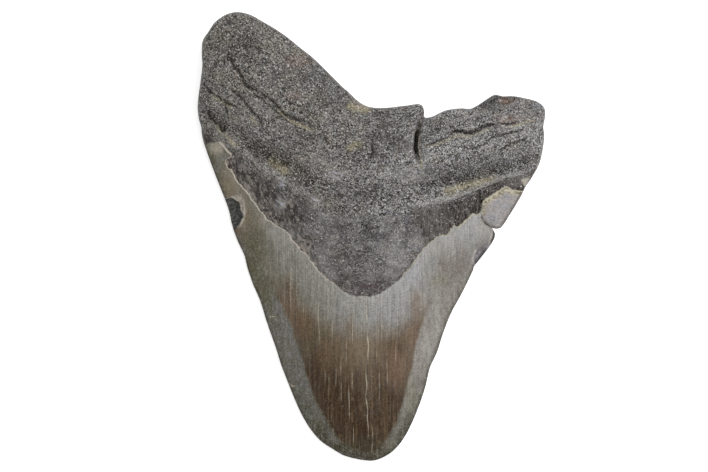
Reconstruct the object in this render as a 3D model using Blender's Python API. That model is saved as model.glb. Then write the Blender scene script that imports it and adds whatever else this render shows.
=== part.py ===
"""A fossil megalodon tooth: a broad worn crown of enamel under a thick two-lobed root, grown as one piece.

It lies on the flat spot of its labial (outer) face, with its domed lingual (inner) face up, its tip towards -Y
and its root towards +Y. The origin is on the table under the middle of the tooth's outline.

The plan is read off the photograph in its own pixels, x to the right and y down, and the slant length turns
pixels into millimetres. Heights are millimetres above the table. Each face is a smooth sheet through a few
spot heights, turned down to the rim all round, with ledges, furrows and chips cut into it.
"""

import bmesh
import bpy
import numpy as np
from mathutils import Vector
from mathutils.geometry import delaunay_2d_cdt

# Driving dimensions, in millimetres; the root's bulge is its sheet's highest spot, before the rim turns it down
SLANT_LENGTH = 127.0
BEVEL_WIDTH = 5.2
ENAMEL_STEP = 0.55
ROOT_BULGE = 27.0
METRES = 0.001

# The slant length runs between these two places of the photograph
CROWN_TIP = (369.0, 460.7)
ROOT_CORNER = (237.5, 12.6)
MM_PER_PIXEL = SLANT_LENGTH / np.hypot(*np.subtract(CROWN_TIP, ROOT_CORNER))

# Clockwise from the tip: up the left cutting edge, over both root lobes, and down the right cutting edge
OUTLINE = [
    CROWN_TIP, (345.2, 456), (332.4, 448.9), (320.4, 440.7), (309.4, 427.7), (299, 409), (289.5, 386.4),
    (282, 367.4), (275.2, 346.2), (270.1, 332), (264.8, 316), (260.3, 301.5), (253.3, 285), (248, 270),
    (244.2, 255), (238.3, 242.7), (235.4, 235.3), (231.5, 223), (229.1, 211.5), (224.6, 198.5), (214.1, 171.9),
    (204.3, 144.6), (201.7, 134), (201.2, 127.8), (198.7, 118), (198, 104.5), (200.9, 81), (202.6, 66), (202, 52),
    (203.1, 41.3), (209, 32), (215.2, 23), (226, 15.3), ROOT_CORNER, (250.5, 15.3), (265.2, 23.4), (276.5, 30),
    (288.3, 38.3), (300.4, 48.2), (312, 57.2), (325.9, 70.5), (342.6, 87.2), (348.6, 92.4), (358.2, 101.6),
    (368.5, 107), (383.5, 108.3), (400.5, 106.5), (409, 105.5), (417, 104.3), (421.7, 105.7), (424, 111),
    (424.3, 117.6), (432, 117), (439.5, 113.2), (447, 110.3), (461, 108.7), (469.5, 109.2), (476.5, 106),
    (489.4, 97.4), (495, 94.9), (502, 96.5), (512, 96.3), (529, 99.4), (537.7, 102.5), (543.8, 108), (544.7, 117),
    (543, 127), (543.9, 136), (542.2, 151.5), (539, 164), (531.5, 178), (525.2, 187.3), (521, 196.3), (509, 216),
    (501.1, 227.6), (496, 229), (492.3, 228.2), (495, 233.5), (494.3, 238.5), (489, 247.5), (477.7, 262.1),
    (474.3, 266.4), (472.9, 270.5), (463.7, 290), (451, 313.5), (443.2, 333.2), (437.2, 351.7), (430.2, 367.4),
    (425.3, 387), (419.2, 405.3), (411, 425), (402.4, 440.5), (392.1, 451.8), (379.5, 459),
]

# Spot heights (x, y, height) of the lingual face, before its rim and its marks are cut
LINGUAL_SPOTS = [
    (369, 452, 5.2), (370, 430, 7.5), (367, 400, 9.6), (363, 360, 11.8), (360, 310, 14.0), (364, 280, 15.6),
    (310, 400, 5.1), (335, 400, 8.4), (390, 400, 7.9), (408, 400, 5.0), (294, 360, 5.6), (315, 360, 8.8),
    (400, 360, 8.9), (420, 360, 5.4), (279, 310, 6.2), (300, 310, 9.5), (415, 310, 9.9), (435, 310, 6.6),
    (262, 250, 6.9), (290, 250, 11.6), (440, 250, 11.8), (470, 250, 6.8), (372, 250, 17.6), (372, 215, 19.6),
    (240, 196, 7.4), (262, 200, 11.0), (292, 205, 15.2), (470, 208, 12.4), (498, 208, 8.0),
    (238, 145, 12.6), (323, 187, 19.6), (420, 190, 19.8), (480, 170, 17.2), (520, 163, 14.4),
    (345, 150, 25.6), (385, 158, ROOT_BULGE), (440, 150, 25.0), (490, 138, 22.0), (525, 130, 19.4),
    (300, 126, 24.2), (262, 95, 21.6), (240, 55, 19.0), (226, 28, 16.6), (214, 60, 16.6), (211, 100, 16.0),
    (290, 55, 19.6), (322, 84, 22.0), (352, 112, 24.4), (385, 122, 26.0), (420, 120, 24.6), (460, 118, 22.4),
    (505, 106, 19.2), (536, 114, 17.2),
]

# Spot heights of the labial face; where they dip below the table the face is cut flat and rests on it
LABIAL_SPOTS = [
    (369, 455, 1.3), (369, 425, 0.2), (369, 380, -0.5), (369, 300, -0.9), (369, 220, -0.9), (369, 165, -0.4),
    (305, 400, 1.5), (415, 400, 1.5), (275, 320, 1.7), (446, 320, 1.7), (252, 250, 1.9), (478, 250, 1.9),
    (300, 250, 0.1), (435, 250, 0.1), (220, 165, 2.8), (515, 195, 2.8), (300, 150, 0.8), (440, 160, 0.8),
    (372, 120, 2.4), (262, 95, 3.2), (235, 40, 6.2), (210, 100, 4.6), (490, 135, 2.8), (532, 125, 5.0),
    (310, 70, 4.2), (460, 115, 3.6),
]

# Spot heights of the rim, where the two faces meet: low along the cutting edges, half way up the root
RIM_SPOTS = [
    (369, 461, 2.7), (300, 408, 2.2), (419, 405, 2.2), (263, 310, 2.4), (452, 310, 2.4), (240, 245, 2.8),
    (488, 248, 2.8), (222, 188, 3.8), (510, 214, 3.6), (206, 146, 6.0), (525, 188, 6.0), (200, 105, 10.0),
    (543, 150, 9.6), (237, 13, 12.0), (540, 104, 11.5), (327, 70, 12.5), (372, 107, 13.0), (424, 112, 13.0),
    (489, 97, 12.0), (370, 300, 3.5), (370, 180, 9.0),
]

# The line through both shoulders, where the sharp crown edge gives way to the round root
SHOULDERS = ((205.3, 144.0), (524.0, 190.0))

# The margin of the enamel on the lingual face, left to right: a deep V round the root
LINGUAL_MARGIN = [
    (203, 145.3), (213, 141.5), (220.6, 143), (226, 149), (231.5, 157), (226, 161.5), (229, 167.5), (234, 173),
    (237.5, 181), (246, 190.5), (253.5, 201), (261, 210.5), (272, 222), (287, 231.7), (296.3, 244),
    (310, 258), (321, 273), (336, 284), (346.8, 292.5), (360.6, 295.5), (374.4, 294.5), (385, 289),
    (398.9, 278.4), (409.6, 267), (420, 252), (428, 243.3), (440, 235), (446.1, 233.9), (450, 229),
    (453, 225.5), (457.6, 226), (466.8, 219.7), (472.1, 214.4), (480, 213.5), (480.6, 204.4), (489, 197.5),
    (498.2, 190.7), (507.3, 186.8), (513.5, 189.9), (520.3, 190.7), (526, 192),
]

# The margin on the labial face is a shallow chevron, high up the root
LABIAL_MARGIN = [
    (203, 145.3), (222, 150), (250, 164), (290, 181), (330, 193), (372, 198), (410, 195), (450, 189),
    (490, 186), (526, 188),
]

# Long marks of the lingual face: (points, half width, depth), both in millimetres; a ridge has a negative depth
LINGUAL_MARKS = {
    "neck groove": (
        [(203, 105), (216, 116), (240, 138), (256, 149), (271, 158), (287, 164), (314, 182), (343, 192),
         (377, 196), (417, 189), (440, 184), (480, 175), (507, 167), (541, 158)], 1.8, 0.4),
    "left neck groove": (
        [(206, 108), (222, 121), (240, 136), (256, 147.5), (271, 157), (287, 163.5), (305, 176), (332, 190)],
        1.6, 1.4),
    "right neck groove": (
        [(404, 190), (420, 187), (440, 183), (460, 178.5), (480, 174), (500, 170), (520, 164), (540, 158)],
        1.4, 1.4),
    "left neck ridge": (
        [(203, 117), (220, 133), (242, 153), (260, 167), (276, 176), (297, 190), (317, 202), (338, 208)],
        2.0, -0.8),
    "right neck ridge": (
        [(400, 208.5), (413, 205.5), (428, 203), (444, 200), (465, 194.5), (480, 187.5), (497, 180), (512, 174.5),
         (528, 169)], 1.0, -1.3),
    "left bourlette hollow": (
        [(233, 152), (247, 172), (262, 192), (283, 216), (303, 236), (313, 247)], 2.4, 0.9),
    "right bourlette hollow": ([(418, 226), (440, 215), (462, 206), (480, 200)], 2.4, 0.9),
    "cavity over the chip": ([(489, 190), (500, 184), (508, 181), (519, 184)], 1.1, 0.9),
    "lobe crack": (
        [(231, 52), (233.6, 66), (241, 75), (252, 86), (266, 95), (275, 104), (287, 115), (296, 121),
         (312, 127)], 1.1, 0.5),
    "lobe furrow": ([(207, 89), (221, 99.5), (232, 105.5), (246, 107), (255, 115), (264, 131)], 1.0, 0.4),
    "lobe edge hollow": ([(208, 112), (219, 123), (228, 132)], 1.1, 0.9),
    "centre furrow": ([(373, 116), (372, 130), (372.6, 148), (373, 162)], 1.1, 0.4),
    "right lobe crack": (
        [(424, 143), (438, 141), (448.5, 135), (460, 132.3), (471, 132.3), (481.6, 127), (494, 126),
         (508, 124.5), (530, 122)], 1.1, 0.5),
    "right lobe furrow": ([(488, 160), (496, 155), (508, 147.6), (522, 141), (534, 139)], 1.0, 0.4),
    "chip crack": ([(480, 213), (483, 221), (489, 226), (494, 229)], 0.35, 0.9),
}

# The slit is a deep split of the root, open at the notch, with its right lip worn down
SLIT = [(423, 113), (420, 122), (417.4, 131), (415.4, 143), (416, 155), (419, 166)]
SLIT_DEPTH, SLIT_HALF_WIDTH = 4.0, 0.2
LIP_DEPTH, LIP_WIDTH = 1.8, 1.9

# Long marks of the labial face
LABIAL_MARKS = {
    "neck": (
        [(208, 136), (250, 156), (290, 172), (330, 184), (372, 189), (410, 186), (450, 180), (526, 178)],
        1.8, 0.8),
    "left lobe furrow": ([(222, 60), (240, 84), (268, 108), (300, 126)], 0.9, 1.0),
    "right lobe furrow": ([(455, 134), (488, 128), (522, 124)], 0.9, 1.0),
}

# Patches knocked out of the lingual face: (corner points, depth in millimetres)
CHIPS = {
    "left chip": (
        [(221, 199), (228, 197.5), (234, 195), (240.3, 192.5), (242.5, 198), (244.8, 205), (244.3, 211),
         (244.8, 217.5), (240, 222.4), (238, 228), (231, 227)], 0.4),
    "left chip floor": (
        [(221, 198), (232, 198.5), (238.6, 202.4), (240.4, 210), (243, 216.5), (239.6, 225), (235, 231),
         (227, 220)], 0.6),
    "right chip": ([(496, 232), (490, 239), (483, 245), (476, 250.4), (473, 256), (472, 270), (500, 250)], 0.5),
    "broken lobe corner": (
        [(468, 110), (480, 108.5), (490, 109), (508, 105), (522, 98.5), (520, 90), (480, 88)], 2.6),
}

# Round pits of the lingual face: (x, y, radius, depth) with millimetres for the last two; a lump is negative
PITS = [
    (358.3, 146.2, 1.1, 1.1), (326.6, 142.4, 0.8, 0.8), (365, 226, 1.7, 0.9), (361, 270.5, 0.9, 0.5),
    (282, 203, 1.8, -0.8), (257, 186, 1.5, -0.5), (301, 219, 1.3, 0.4), (250, 62, 1.6, 0.6),
    (291, 88, 1.5, 0.5), (272, 68, 1.4, 0.4), (318, 99, 1.3, 0.5), (452, 122, 1.4, 0.4),
]

# How finely the faces are cut up, in millimetres; LATTICE_ROOM is a share of the lattice's own step
OUTLINE_STEP = 2.1
LINGUAL_LATTICE = 1.9
LABIAL_LATTICE = 3.1
RIM_RINGS = (0.25, 0.9, 2.1)
MARK_STEP = 2.0
BROAD_MARK = 1.9
ROW_ROOM = 0.45
LATTICE_ROOM = 0.6
HEXAGON = np.array([(np.cos(turn), np.sin(turn)) for turn in np.arange(6) * np.pi / 3])


def to_plan(pixels, centre=(0.0, 0.0)):
    """Places of the photograph as millimetres in the plan, y up, measured from centre."""
    places = np.asarray(pixels, float)[:, :2] * (MM_PER_PIXEL, -MM_PER_PIXEL)
    return places - centre


def smooth_line(points, step, closed=False):
    """A smooth curve through the points, which it keeps, cut into pieces no longer than step."""
    points = np.asarray(points, float)
    if closed:
        before, after = np.roll(points, 1, 0), np.roll(points, -1, 0)
        ends, next_after = after, np.roll(points, -2, 0)
    else:
        padded = np.vstack([2 * points[0] - points[1], points, 2 * points[-1] - points[-2]])
        before, points, ends, next_after = padded[:-3], padded[1:-2], padded[2:-1], padded[3:]
    made = []
    for p0, p1, p2, p3 in zip(before, points, ends, next_after):
        length = np.linalg.norm(p2 - p1)
        start = (p2 - p0) / (np.linalg.norm(p1 - p0) + length) * length
        stop = (p3 - p1) / (length + np.linalg.norm(p3 - p2)) * length
        count = max(1, int(np.ceil(length / step)))
        for t in np.arange(count)[:, None] / count:
            made.append(
                (2 * t**3 - 3 * t**2 + 1) * p1 + (t**3 - 2 * t**2 + t) * start
                + (3 * t**2 - 2 * t**3) * p2 + (t**3 - t**2) * stop
            )
    if not closed:
        made.append(ends[-1])
    return np.vstack(made)


def distance_to(places, line, closed=False):
    """Each place's distance to a line, and how far along the line, from 0 to 1, its nearest point is."""
    starts = line if closed else line[:-1]
    steps = np.roll(line, -1, 0)[: len(starts)] - starts
    lengths = np.linalg.norm(steps, axis=1)
    share = ((places[:, None] - starts) * steps).sum(2) / lengths**2
    share = np.clip(share, 0, 1)
    gaps = np.linalg.norm(places[:, None] - starts - share[..., None] * steps, axis=2)
    nearest = gaps.argmin(1)
    rows = np.arange(len(places))
    passed = np.concatenate([[0.0], np.cumsum(lengths)])
    along = passed[nearest] + share[rows, nearest] * lengths[nearest]
    return gaps[rows, nearest], along / passed[-1]


def inside(places, ring):
    """Which places lie inside a closed ring."""
    x, y = places.T
    found = np.zeros(len(places), bool)
    for (x0, y0), (x1, y1) in zip(ring, np.roll(ring, -1, 0)):
        if y0 != y1:
            found ^= ((y0 > y) != (y1 > y)) & (x < (x1 - x0) * (y - y0) / (y1 - y0) + x0)
    return found


def smooth_step(low, high, value):
    t = np.clip((value - low) / (high - low), 0, 1)
    return t * t * (3 - 2 * t)


def smooth_min(a, b, blend):
    """The lower of two heights, rounded over where they come within blend of each other."""
    share = np.clip(0.5 + 0.5 * (b - a) / blend, 0, 1)
    return b + (a - b) * share - blend * share * (1 - share)


def sheet(spots, centre):
    """The smooth sheet through spot heights (a thin-plate spline), as a function of places in the plan."""
    knots = to_plan(spots, centre)
    heights = np.array([spot[2] for spot in spots], float)

    def bending(places):
        squared = ((places[:, None] - knots) ** 2).sum(2)
        return squared * np.log(squared + 1e-9)

    flat = np.column_stack([np.ones(len(knots)), knots])
    system = np.block([[bending(knots), flat], [flat.T, np.zeros((3, 3))]])
    weights = np.linalg.solve(system, np.concatenate([heights, np.zeros(3)]))

    def height(places):
        return bending(places) @ weights[:-3] + np.column_stack([np.ones(len(places)), places]) @ weights[-3:]

    return height


class Tooth:
    """The shape of the tooth: both faces as heights over the plan."""

    def __init__(self):
        outline = smooth_line(to_plan(OUTLINE), OUTLINE_STEP, closed=True)
        self.centre = (outline.min(0) + outline.max(0)) / 2
        self.outline = outline - self.centre
        self.lingual = sheet(LINGUAL_SPOTS, self.centre)
        self.labial = sheet(LABIAL_SPOTS, self.centre)
        self.rim = sheet(RIM_SPOTS, self.centre)
        self.slit = self.line(SLIT)

    def line(self, pixels, step=1.0):
        return smooth_line(to_plan(pixels, self.centre), step)

    def rootness(self, places):
        """0 on the crown, 1 on the root, by the line through the shoulders."""
        left, right = to_plan(SHOULDERS, self.centre)
        along = (right - left) / np.linalg.norm(right - left)
        above = (places - left) @ np.array([-along[1], along[0]])
        return smooth_step(-4.0, 7.0, above)

    def enamel(self, places, margin):
        """Signed distance to a margin of the enamel: positive on the crown's side."""
        line = self.line(margin)
        around = np.array([(60, line[-1][1]), (60, -80), (-60, -80), (-60, line[0][1])])
        gap, _ = distance_to(places, line)
        return np.where(inside(places, np.vstack([line, around])), gap, -gap)

    def marks(self, places, table):
        """How deep a table of long marks cuts; each fades towards its ends."""
        cut = np.zeros(len(places))
        for points, half_width, depth in table.values():
            gap, along = distance_to(places, self.line(points))
            fade = np.sqrt(np.clip(4 * along * (1 - along), 0, 1))
            cut += depth * fade * np.exp(-((gap / half_width) ** 2))
        return cut

    def slit_cut(self, places):
        """The slit itself, and the worn lip on its right side."""
        gap, along = distance_to(places, self.slit)
        fade = smooth_step(0, 0.4, 1.02 - along) * (0.2 + 0.8 * smooth_step(0.1, 0.5, along))
        middle = np.interp(places[:, 1], self.slit[::-1, 1], self.slit[::-1, 0])
        right = places[:, 0] > middle
        lip = np.where(right, LIP_DEPTH * np.exp(-((gap / LIP_WIDTH) ** 2)), 0)
        return fade * (SLIT_DEPTH * np.exp(-((gap / SLIT_HALF_WIDTH) ** 2)) + lip)

    def chips(self, places):
        cut = np.zeros(len(places))
        for corners, depth in CHIPS.values():
            ring = to_plan(corners, self.centre)
            gap, _ = distance_to(places, ring, closed=True)
            cut += np.where(inside(places, ring), depth * smooth_step(0, 0.8, gap), 0)
        return cut

    def pits(self, places):
        cut = np.zeros(len(places))
        for x, y, radius, depth in PITS:
            away = np.linalg.norm(places - to_plan([(x, y)], self.centre), axis=1)
            cut += depth * np.exp(-((away / radius) ** 2))
        return cut

    def heights(self, places):
        """(lingual height, labial height, rim height) at places inside the outline."""
        gap, _ = distance_to(places, self.outline, closed=True)
        root = self.rootness(places)
        rim = self.rim(places)

        past_bevel = gap - BEVEL_WIDTH
        blade = 0.55 * np.sqrt(gap) + 0.2 * gap + 0.55 * (past_bevel + np.hypot(past_bevel, 1.5))
        round_rim = 2.5 * np.sqrt(gap) + 0.5 * gap
        room = blade + (round_rim - blade) * root
        cuts = self.marks(places, LINGUAL_MARKS) + self.pits(places)
        cuts += self.slit_cut(places) + self.chips(places)
        cuts += ENAMEL_STEP * (1 - smooth_step(-0.1, 0.4, self.enamel(places, LINGUAL_MARGIN)))
        edge_fade = smooth_step(0, 1.5, gap)
        top = rim + smooth_min(self.lingual(places) - rim, room, 2.5) - cuts * edge_fade
        top = np.maximum(top, rim + 0.12 * room)

        thin_edge = 0.3 * np.sqrt(gap) + 0.3 * gap
        under_round = 2.4 * np.sqrt(gap) + 0.45 * gap
        room = thin_edge + (under_round - thin_edge) * root
        cuts = self.marks(places, LABIAL_MARKS)
        cuts += ENAMEL_STEP * (1 - smooth_step(-0.1, 0.4, self.enamel(places, LABIAL_MARGIN)))
        bottom = rim - smooth_min(rim - self.labial(places), room, 1.2) + cuts * edge_fade
        bottom = np.minimum(bottom, rim - 0.08 * room)
        return top, np.maximum(bottom, 0), rim


def offset(line, distance, closed=False):
    """The line moved sideways by distance, to its right as it runs."""
    if closed:
        ahead = np.roll(line, -1, 0) - np.roll(line, 1, 0)
    else:
        ahead = np.gradient(line, axis=0)
    ahead /= np.linalg.norm(ahead, axis=1)[:, None]
    return line + distance * np.column_stack([ahead[:, 1], -ahead[:, 0]])


def plan_points(tooth, rows, lattice_step):
    """Places inside the outline, and the edges between them: rings along the rim, rows along the marks, and an
    even lattice that fills the rest. Each row is kept as edges, so that the triangles follow it."""
    rings = []
    for distance in RIM_RINGS:
        ring = offset(tooth.outline, distance, closed=True)
        gap, _ = distance_to(ring, tooth.outline, closed=True)
        rings.append(ring[inside(ring, tooth.outline) & (gap > 0.85 * distance)])
    kept = Spread([])
    for ring in rings:
        kept.add(ring, ROW_ROOM)
    edges = []
    for row in rows:
        gap, _ = distance_to(row, tooth.outline, closed=True)
        fits = inside(row, tooth.outline) & (gap > RIM_RINGS[0])
        numbers = kept.add(row, ROW_ROOM, fits)
        edges += [pair for pair in zip(numbers, numbers[1:]) if None not in pair]

    low, high = tooth.outline.min(0), tooth.outline.max(0)
    row_gap = lattice_step * np.sqrt(0.75)
    lattice = np.array([
        (x + lattice_step / 2 * (row % 2), low[1] + row * row_gap)
        for row in range(int((high[1] - low[1]) / row_gap) + 1)
        for x in np.arange(low[0], high[0], lattice_step)
    ])
    gap, _ = distance_to(lattice, tooth.outline, closed=True)
    fits = inside(lattice, tooth.outline) & (gap > RIM_RINGS[-1] + 0.4 * lattice_step)
    filled = Spread(kept.places)
    filled.add(lattice, LATTICE_ROOM * lattice_step, fits)
    return np.array(filled.places), edges


class Spread:
    """Places that keep their distance: one that comes too near another is left out."""

    def __init__(self, places):
        self.places = list(places)

    def add(self, places, room, fits=None):
        """Adds what fits, and gives each place's number, or None for one left out."""
        cells = {}
        for place in self.places:
            cells.setdefault(tuple(np.floor(place / room).astype(int)), []).append(place)
        numbers = []
        for place, fit in zip(places, np.ones(len(places), bool) if fits is None else fits):
            column, row = np.floor(place / room).astype(int)
            near = [p for i in (-1, 0, 1) for j in (-1, 0, 1) for p in cells.get((column + i, row + j), [])]
            if fit and all(np.linalg.norm(place - other) > room for other in near):
                cells.setdefault((column, row), []).append(place)
                numbers.append(len(self.places))
                self.places.append(place)
            else:
                numbers.append(None)
        return numbers


def triangulate(tooth, places, edges):
    """Triangles over the outline and the places inside it, the outline's points first."""
    count = len(tooth.outline)
    points = np.vstack([tooth.outline, places])
    edges = [(i, (i + 1) % count) for i in range(count)] + [(a + count, b + count) for a, b in edges]
    made = delaunay_2d_cdt([Vector(p) for p in points], edges, [], 1, 1e-6)
    return np.array([tuple(v) for v in made[0]]), [tuple(f) for f in made[2]]


def mark_lines(tooth, margin, table):
    """Rows of places along a face's margin and marks, so that the triangles follow them."""
    rows = [offset(tooth.line(margin, MARK_STEP), side) for side in (-0.35, 0.2)]
    for points, half_width, _ in table.values():
        sides = (0, -1.3, 1.3) if half_width < BROAD_MARK else (0, -0.75, 0.75, -1.7, 1.7)
        for side in sides:
            rows.append(offset(tooth.line(points, MARK_STEP), side * half_width))
    return rows


def build_mesh(tooth):
    """Both faces over one outline, joined along it."""
    upper_rows = mark_lines(tooth, LINGUAL_MARGIN, LINGUAL_MARKS)
    upper_rows += [offset(tooth.line(SLIT, MARK_STEP), side) for side in (0, -1.1, 1.1, 2.4)]
    upper_rows += [tooth.line(corners, MARK_STEP) for corners, _ in CHIPS.values()]
    for x, y, radius, _ in PITS:
        middle = to_plan([(x, y)], tooth.centre)
        upper_rows += [middle, middle + radius * HEXAGON]
    lower_rows = mark_lines(tooth, LABIAL_MARGIN, LABIAL_MARKS)

    mesh = bmesh.new()
    rim_height = tooth.rim(tooth.outline)
    rim = [mesh.verts.new((x, y, z)) for (x, y), z in zip(tooth.outline, rim_height)]
    faces = ((upper_rows, LINGUAL_LATTICE, True), (lower_rows, LABIAL_LATTICE, False))
    for rows, lattice_step, upward in faces:
        places, triangles = triangulate(tooth, *plan_points(tooth, rows, lattice_step))
        top, bottom, _ = tooth.heights(places)
        height = top if upward else bottom
        verts = list(rim)
        for (x, y), z in zip(places[len(rim):], height[len(rim):]):
            verts.append(mesh.verts.new((x, y, z)))
        for corners in triangles:
            ordered = corners if upward else corners[::-1]
            mesh.faces.new([verts[i] for i in ordered])
    bmesh.ops.scale(mesh, vec=(METRES,) * 3, verts=mesh.verts)
    return mesh


def fossil_material():
    """The dark grey-brown of a river-worn fossil."""
    material = bpy.data.materials.new("fossil")
    material.use_nodes = True
    shader = material.node_tree.nodes["Principled BSDF"]
    shader.inputs["Base Color"].default_value = (0.15, 0.14, 0.125, 1)
    shader.inputs["Roughness"].default_value = 0.6
    shader.inputs["Metallic"].default_value = 0.0
    return material


def main():
    for old in list(bpy.data.objects):
        bpy.data.objects.remove(old)
    mesh = build_mesh(Tooth())
    data = bpy.data.meshes.new("tooth")
    mesh.to_mesh(data)
    mesh.free()
    data.materials.append(fossil_material())
    data.shade_smooth()
    tooth = bpy.data.objects.new("tooth", data)
    bpy.context.scene.collection.objects.link(tooth)


main()
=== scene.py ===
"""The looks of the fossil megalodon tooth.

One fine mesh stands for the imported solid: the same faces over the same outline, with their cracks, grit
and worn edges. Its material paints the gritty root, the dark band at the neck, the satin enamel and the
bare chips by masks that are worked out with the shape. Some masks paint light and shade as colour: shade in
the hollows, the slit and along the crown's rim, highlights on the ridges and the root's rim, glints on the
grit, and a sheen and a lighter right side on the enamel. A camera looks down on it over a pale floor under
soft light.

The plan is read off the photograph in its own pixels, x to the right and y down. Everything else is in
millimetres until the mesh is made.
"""

import bpy
import numpy as np
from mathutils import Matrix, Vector, kdtree, noise
from mathutils.geometry import delaunay_2d_cdt


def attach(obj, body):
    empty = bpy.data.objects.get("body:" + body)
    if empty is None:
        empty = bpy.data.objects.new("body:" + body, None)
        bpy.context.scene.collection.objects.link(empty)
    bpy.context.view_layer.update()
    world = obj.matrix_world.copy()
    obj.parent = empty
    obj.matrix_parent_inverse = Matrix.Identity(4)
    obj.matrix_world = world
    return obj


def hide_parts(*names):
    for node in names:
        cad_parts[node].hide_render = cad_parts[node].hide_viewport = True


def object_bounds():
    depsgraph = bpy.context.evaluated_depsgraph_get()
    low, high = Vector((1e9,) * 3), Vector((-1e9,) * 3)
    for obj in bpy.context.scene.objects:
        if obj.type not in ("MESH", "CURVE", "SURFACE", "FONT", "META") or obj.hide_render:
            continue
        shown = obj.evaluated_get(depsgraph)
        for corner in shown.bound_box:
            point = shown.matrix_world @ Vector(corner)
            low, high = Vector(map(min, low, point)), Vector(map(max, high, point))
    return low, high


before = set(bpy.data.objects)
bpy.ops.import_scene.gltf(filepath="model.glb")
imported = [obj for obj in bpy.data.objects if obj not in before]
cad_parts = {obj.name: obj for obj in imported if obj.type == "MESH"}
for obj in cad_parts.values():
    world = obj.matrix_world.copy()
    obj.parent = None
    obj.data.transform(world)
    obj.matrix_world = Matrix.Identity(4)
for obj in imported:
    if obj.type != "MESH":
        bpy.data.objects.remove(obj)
cad_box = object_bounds()

# Driving dimensions, in millimetres, as the solid has them
SLANT_LENGTH = 127.0
BEVEL_WIDTH = 5.2
ENAMEL_STEP = 0.55
ROOT_BULGE = 27.0
METRES = 0.001

# The slant length runs between these two places of the photograph
CROWN_TIP = (369.0, 460.7)
ROOT_CORNER = (237.5, 12.6)
MM_PER_PIXEL = SLANT_LENGTH / np.hypot(*np.subtract(CROWN_TIP, ROOT_CORNER))
PHOTO_SIZE = (708, 472)

# Clockwise from the tip: up the left cutting edge, over both root lobes, and down the right cutting edge
OUTLINE = [
    CROWN_TIP, (345.2, 456), (332.4, 448.9), (320.4, 440.7), (309.4, 427.7), (299, 409), (289.5, 386.4),
    (282, 367.4), (275.2, 346.2), (270.1, 332), (264.8, 316), (260.3, 301.5), (253.3, 285), (248, 270),
    (244.2, 255), (238.3, 242.7), (235.4, 235.3), (231.5, 223), (229.1, 211.5), (224.6, 198.5),
    (214.1, 171.9),
    (204.3, 144.6), (201.7, 134), (201.2, 127.8), (198.7, 118), (198, 104.5), (200.9, 81), (202.6, 66),
    (202, 52),
    (203.1, 41.3), (209, 32), (215.2, 23), (226, 15.3), ROOT_CORNER, (250.5, 15.3), (265.2, 23.4),
    (276.5, 30),
    (288.3, 38.3), (300.4, 48.2), (312, 57.2), (325.9, 70.5), (342.6, 87.2), (348.6, 92.4), (358.2, 101.6),
    (368.5, 107), (383.5, 108.3), (400.5, 106.5), (409, 105.5), (417, 104.3), (421.7, 105.7), (424, 111),
    (424.3, 117.6), (432, 117), (439.5, 113.2), (447, 110.3), (461, 108.7), (469.5, 109.2), (476.5, 106),
    (489.4, 97.4), (495, 94.9), (502, 96.5), (512, 96.3), (529, 99.4), (537.7, 102.5), (543.8, 108),
    (544.7, 117),
    (543, 127), (543.9, 136), (542.2, 151.5), (539, 164), (531.5, 178), (525.2, 187.3), (521, 196.3),
    (509, 216),
    (501.1, 227.6), (496, 229), (492.3, 228.2), (495, 233.5), (494.3, 238.5), (489, 247.5), (477.7, 262.1),
    (474.3, 266.4), (472.9, 270.5), (463.7, 290), (451, 313.5), (443.2, 333.2), (437.2, 351.7),
    (430.2, 367.4),
    (425.3, 387), (419.2, 405.3), (411, 425), (402.4, 440.5), (392.1, 451.8), (379.5, 459),
]

# Spot heights (x, y, height) of the lingual face, before its rim and its marks are cut
LINGUAL_SPOTS = [
    (369, 452, 5.2), (370, 430, 7.5), (367, 400, 9.6), (363, 360, 11.8), (360, 310, 14.0), (364, 280, 15.6),
    (310, 400, 5.1), (335, 400, 8.4), (390, 400, 7.9), (408, 400, 5.0), (294, 360, 5.6), (315, 360, 8.8),
    (400, 360, 8.9), (420, 360, 5.4), (279, 310, 6.2), (300, 310, 9.5), (415, 310, 9.9), (435, 310, 6.6),
    (262, 250, 6.9), (290, 250, 11.6), (440, 250, 11.8), (470, 250, 6.8), (372, 250, 17.6), (372, 215, 19.6),
    (240, 196, 7.4), (262, 200, 11.0), (292, 205, 15.2), (470, 208, 12.4), (498, 208, 8.0),
    (238, 145, 12.6), (323, 187, 19.6), (420, 190, 19.8), (480, 170, 17.2), (520, 163, 14.4),
    (345, 150, 25.6), (385, 158, ROOT_BULGE), (440, 150, 25.0), (490, 138, 22.0), (525, 130, 19.4),
    (300, 126, 24.2), (262, 95, 21.6), (240, 55, 19.0), (226, 28, 16.6), (214, 60, 16.6), (211, 100, 16.0),
    (290, 55, 19.6), (322, 84, 22.0), (352, 112, 24.4), (385, 122, 26.0), (420, 120, 24.6), (460, 118, 22.4),
    (505, 106, 19.2), (536, 114, 17.2),
]

# Spot heights of the labial face; where they dip below the table the face is cut flat and rests on it
LABIAL_SPOTS = [
    (369, 455, 1.3), (369, 425, 0.2), (369, 380, -0.5), (369, 300, -0.9), (369, 220, -0.9), (369, 165, -0.4),
    (305, 400, 1.5), (415, 400, 1.5), (275, 320, 1.7), (446, 320, 1.7), (252, 250, 1.9), (478, 250, 1.9),
    (300, 250, 0.1), (435, 250, 0.1), (220, 165, 2.8), (515, 195, 2.8), (300, 150, 0.8), (440, 160, 0.8),
    (372, 120, 2.4), (262, 95, 3.2), (235, 40, 6.2), (210, 100, 4.6), (490, 135, 2.8), (532, 125, 5.0),
    (310, 70, 4.2), (460, 115, 3.6),
]

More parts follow.
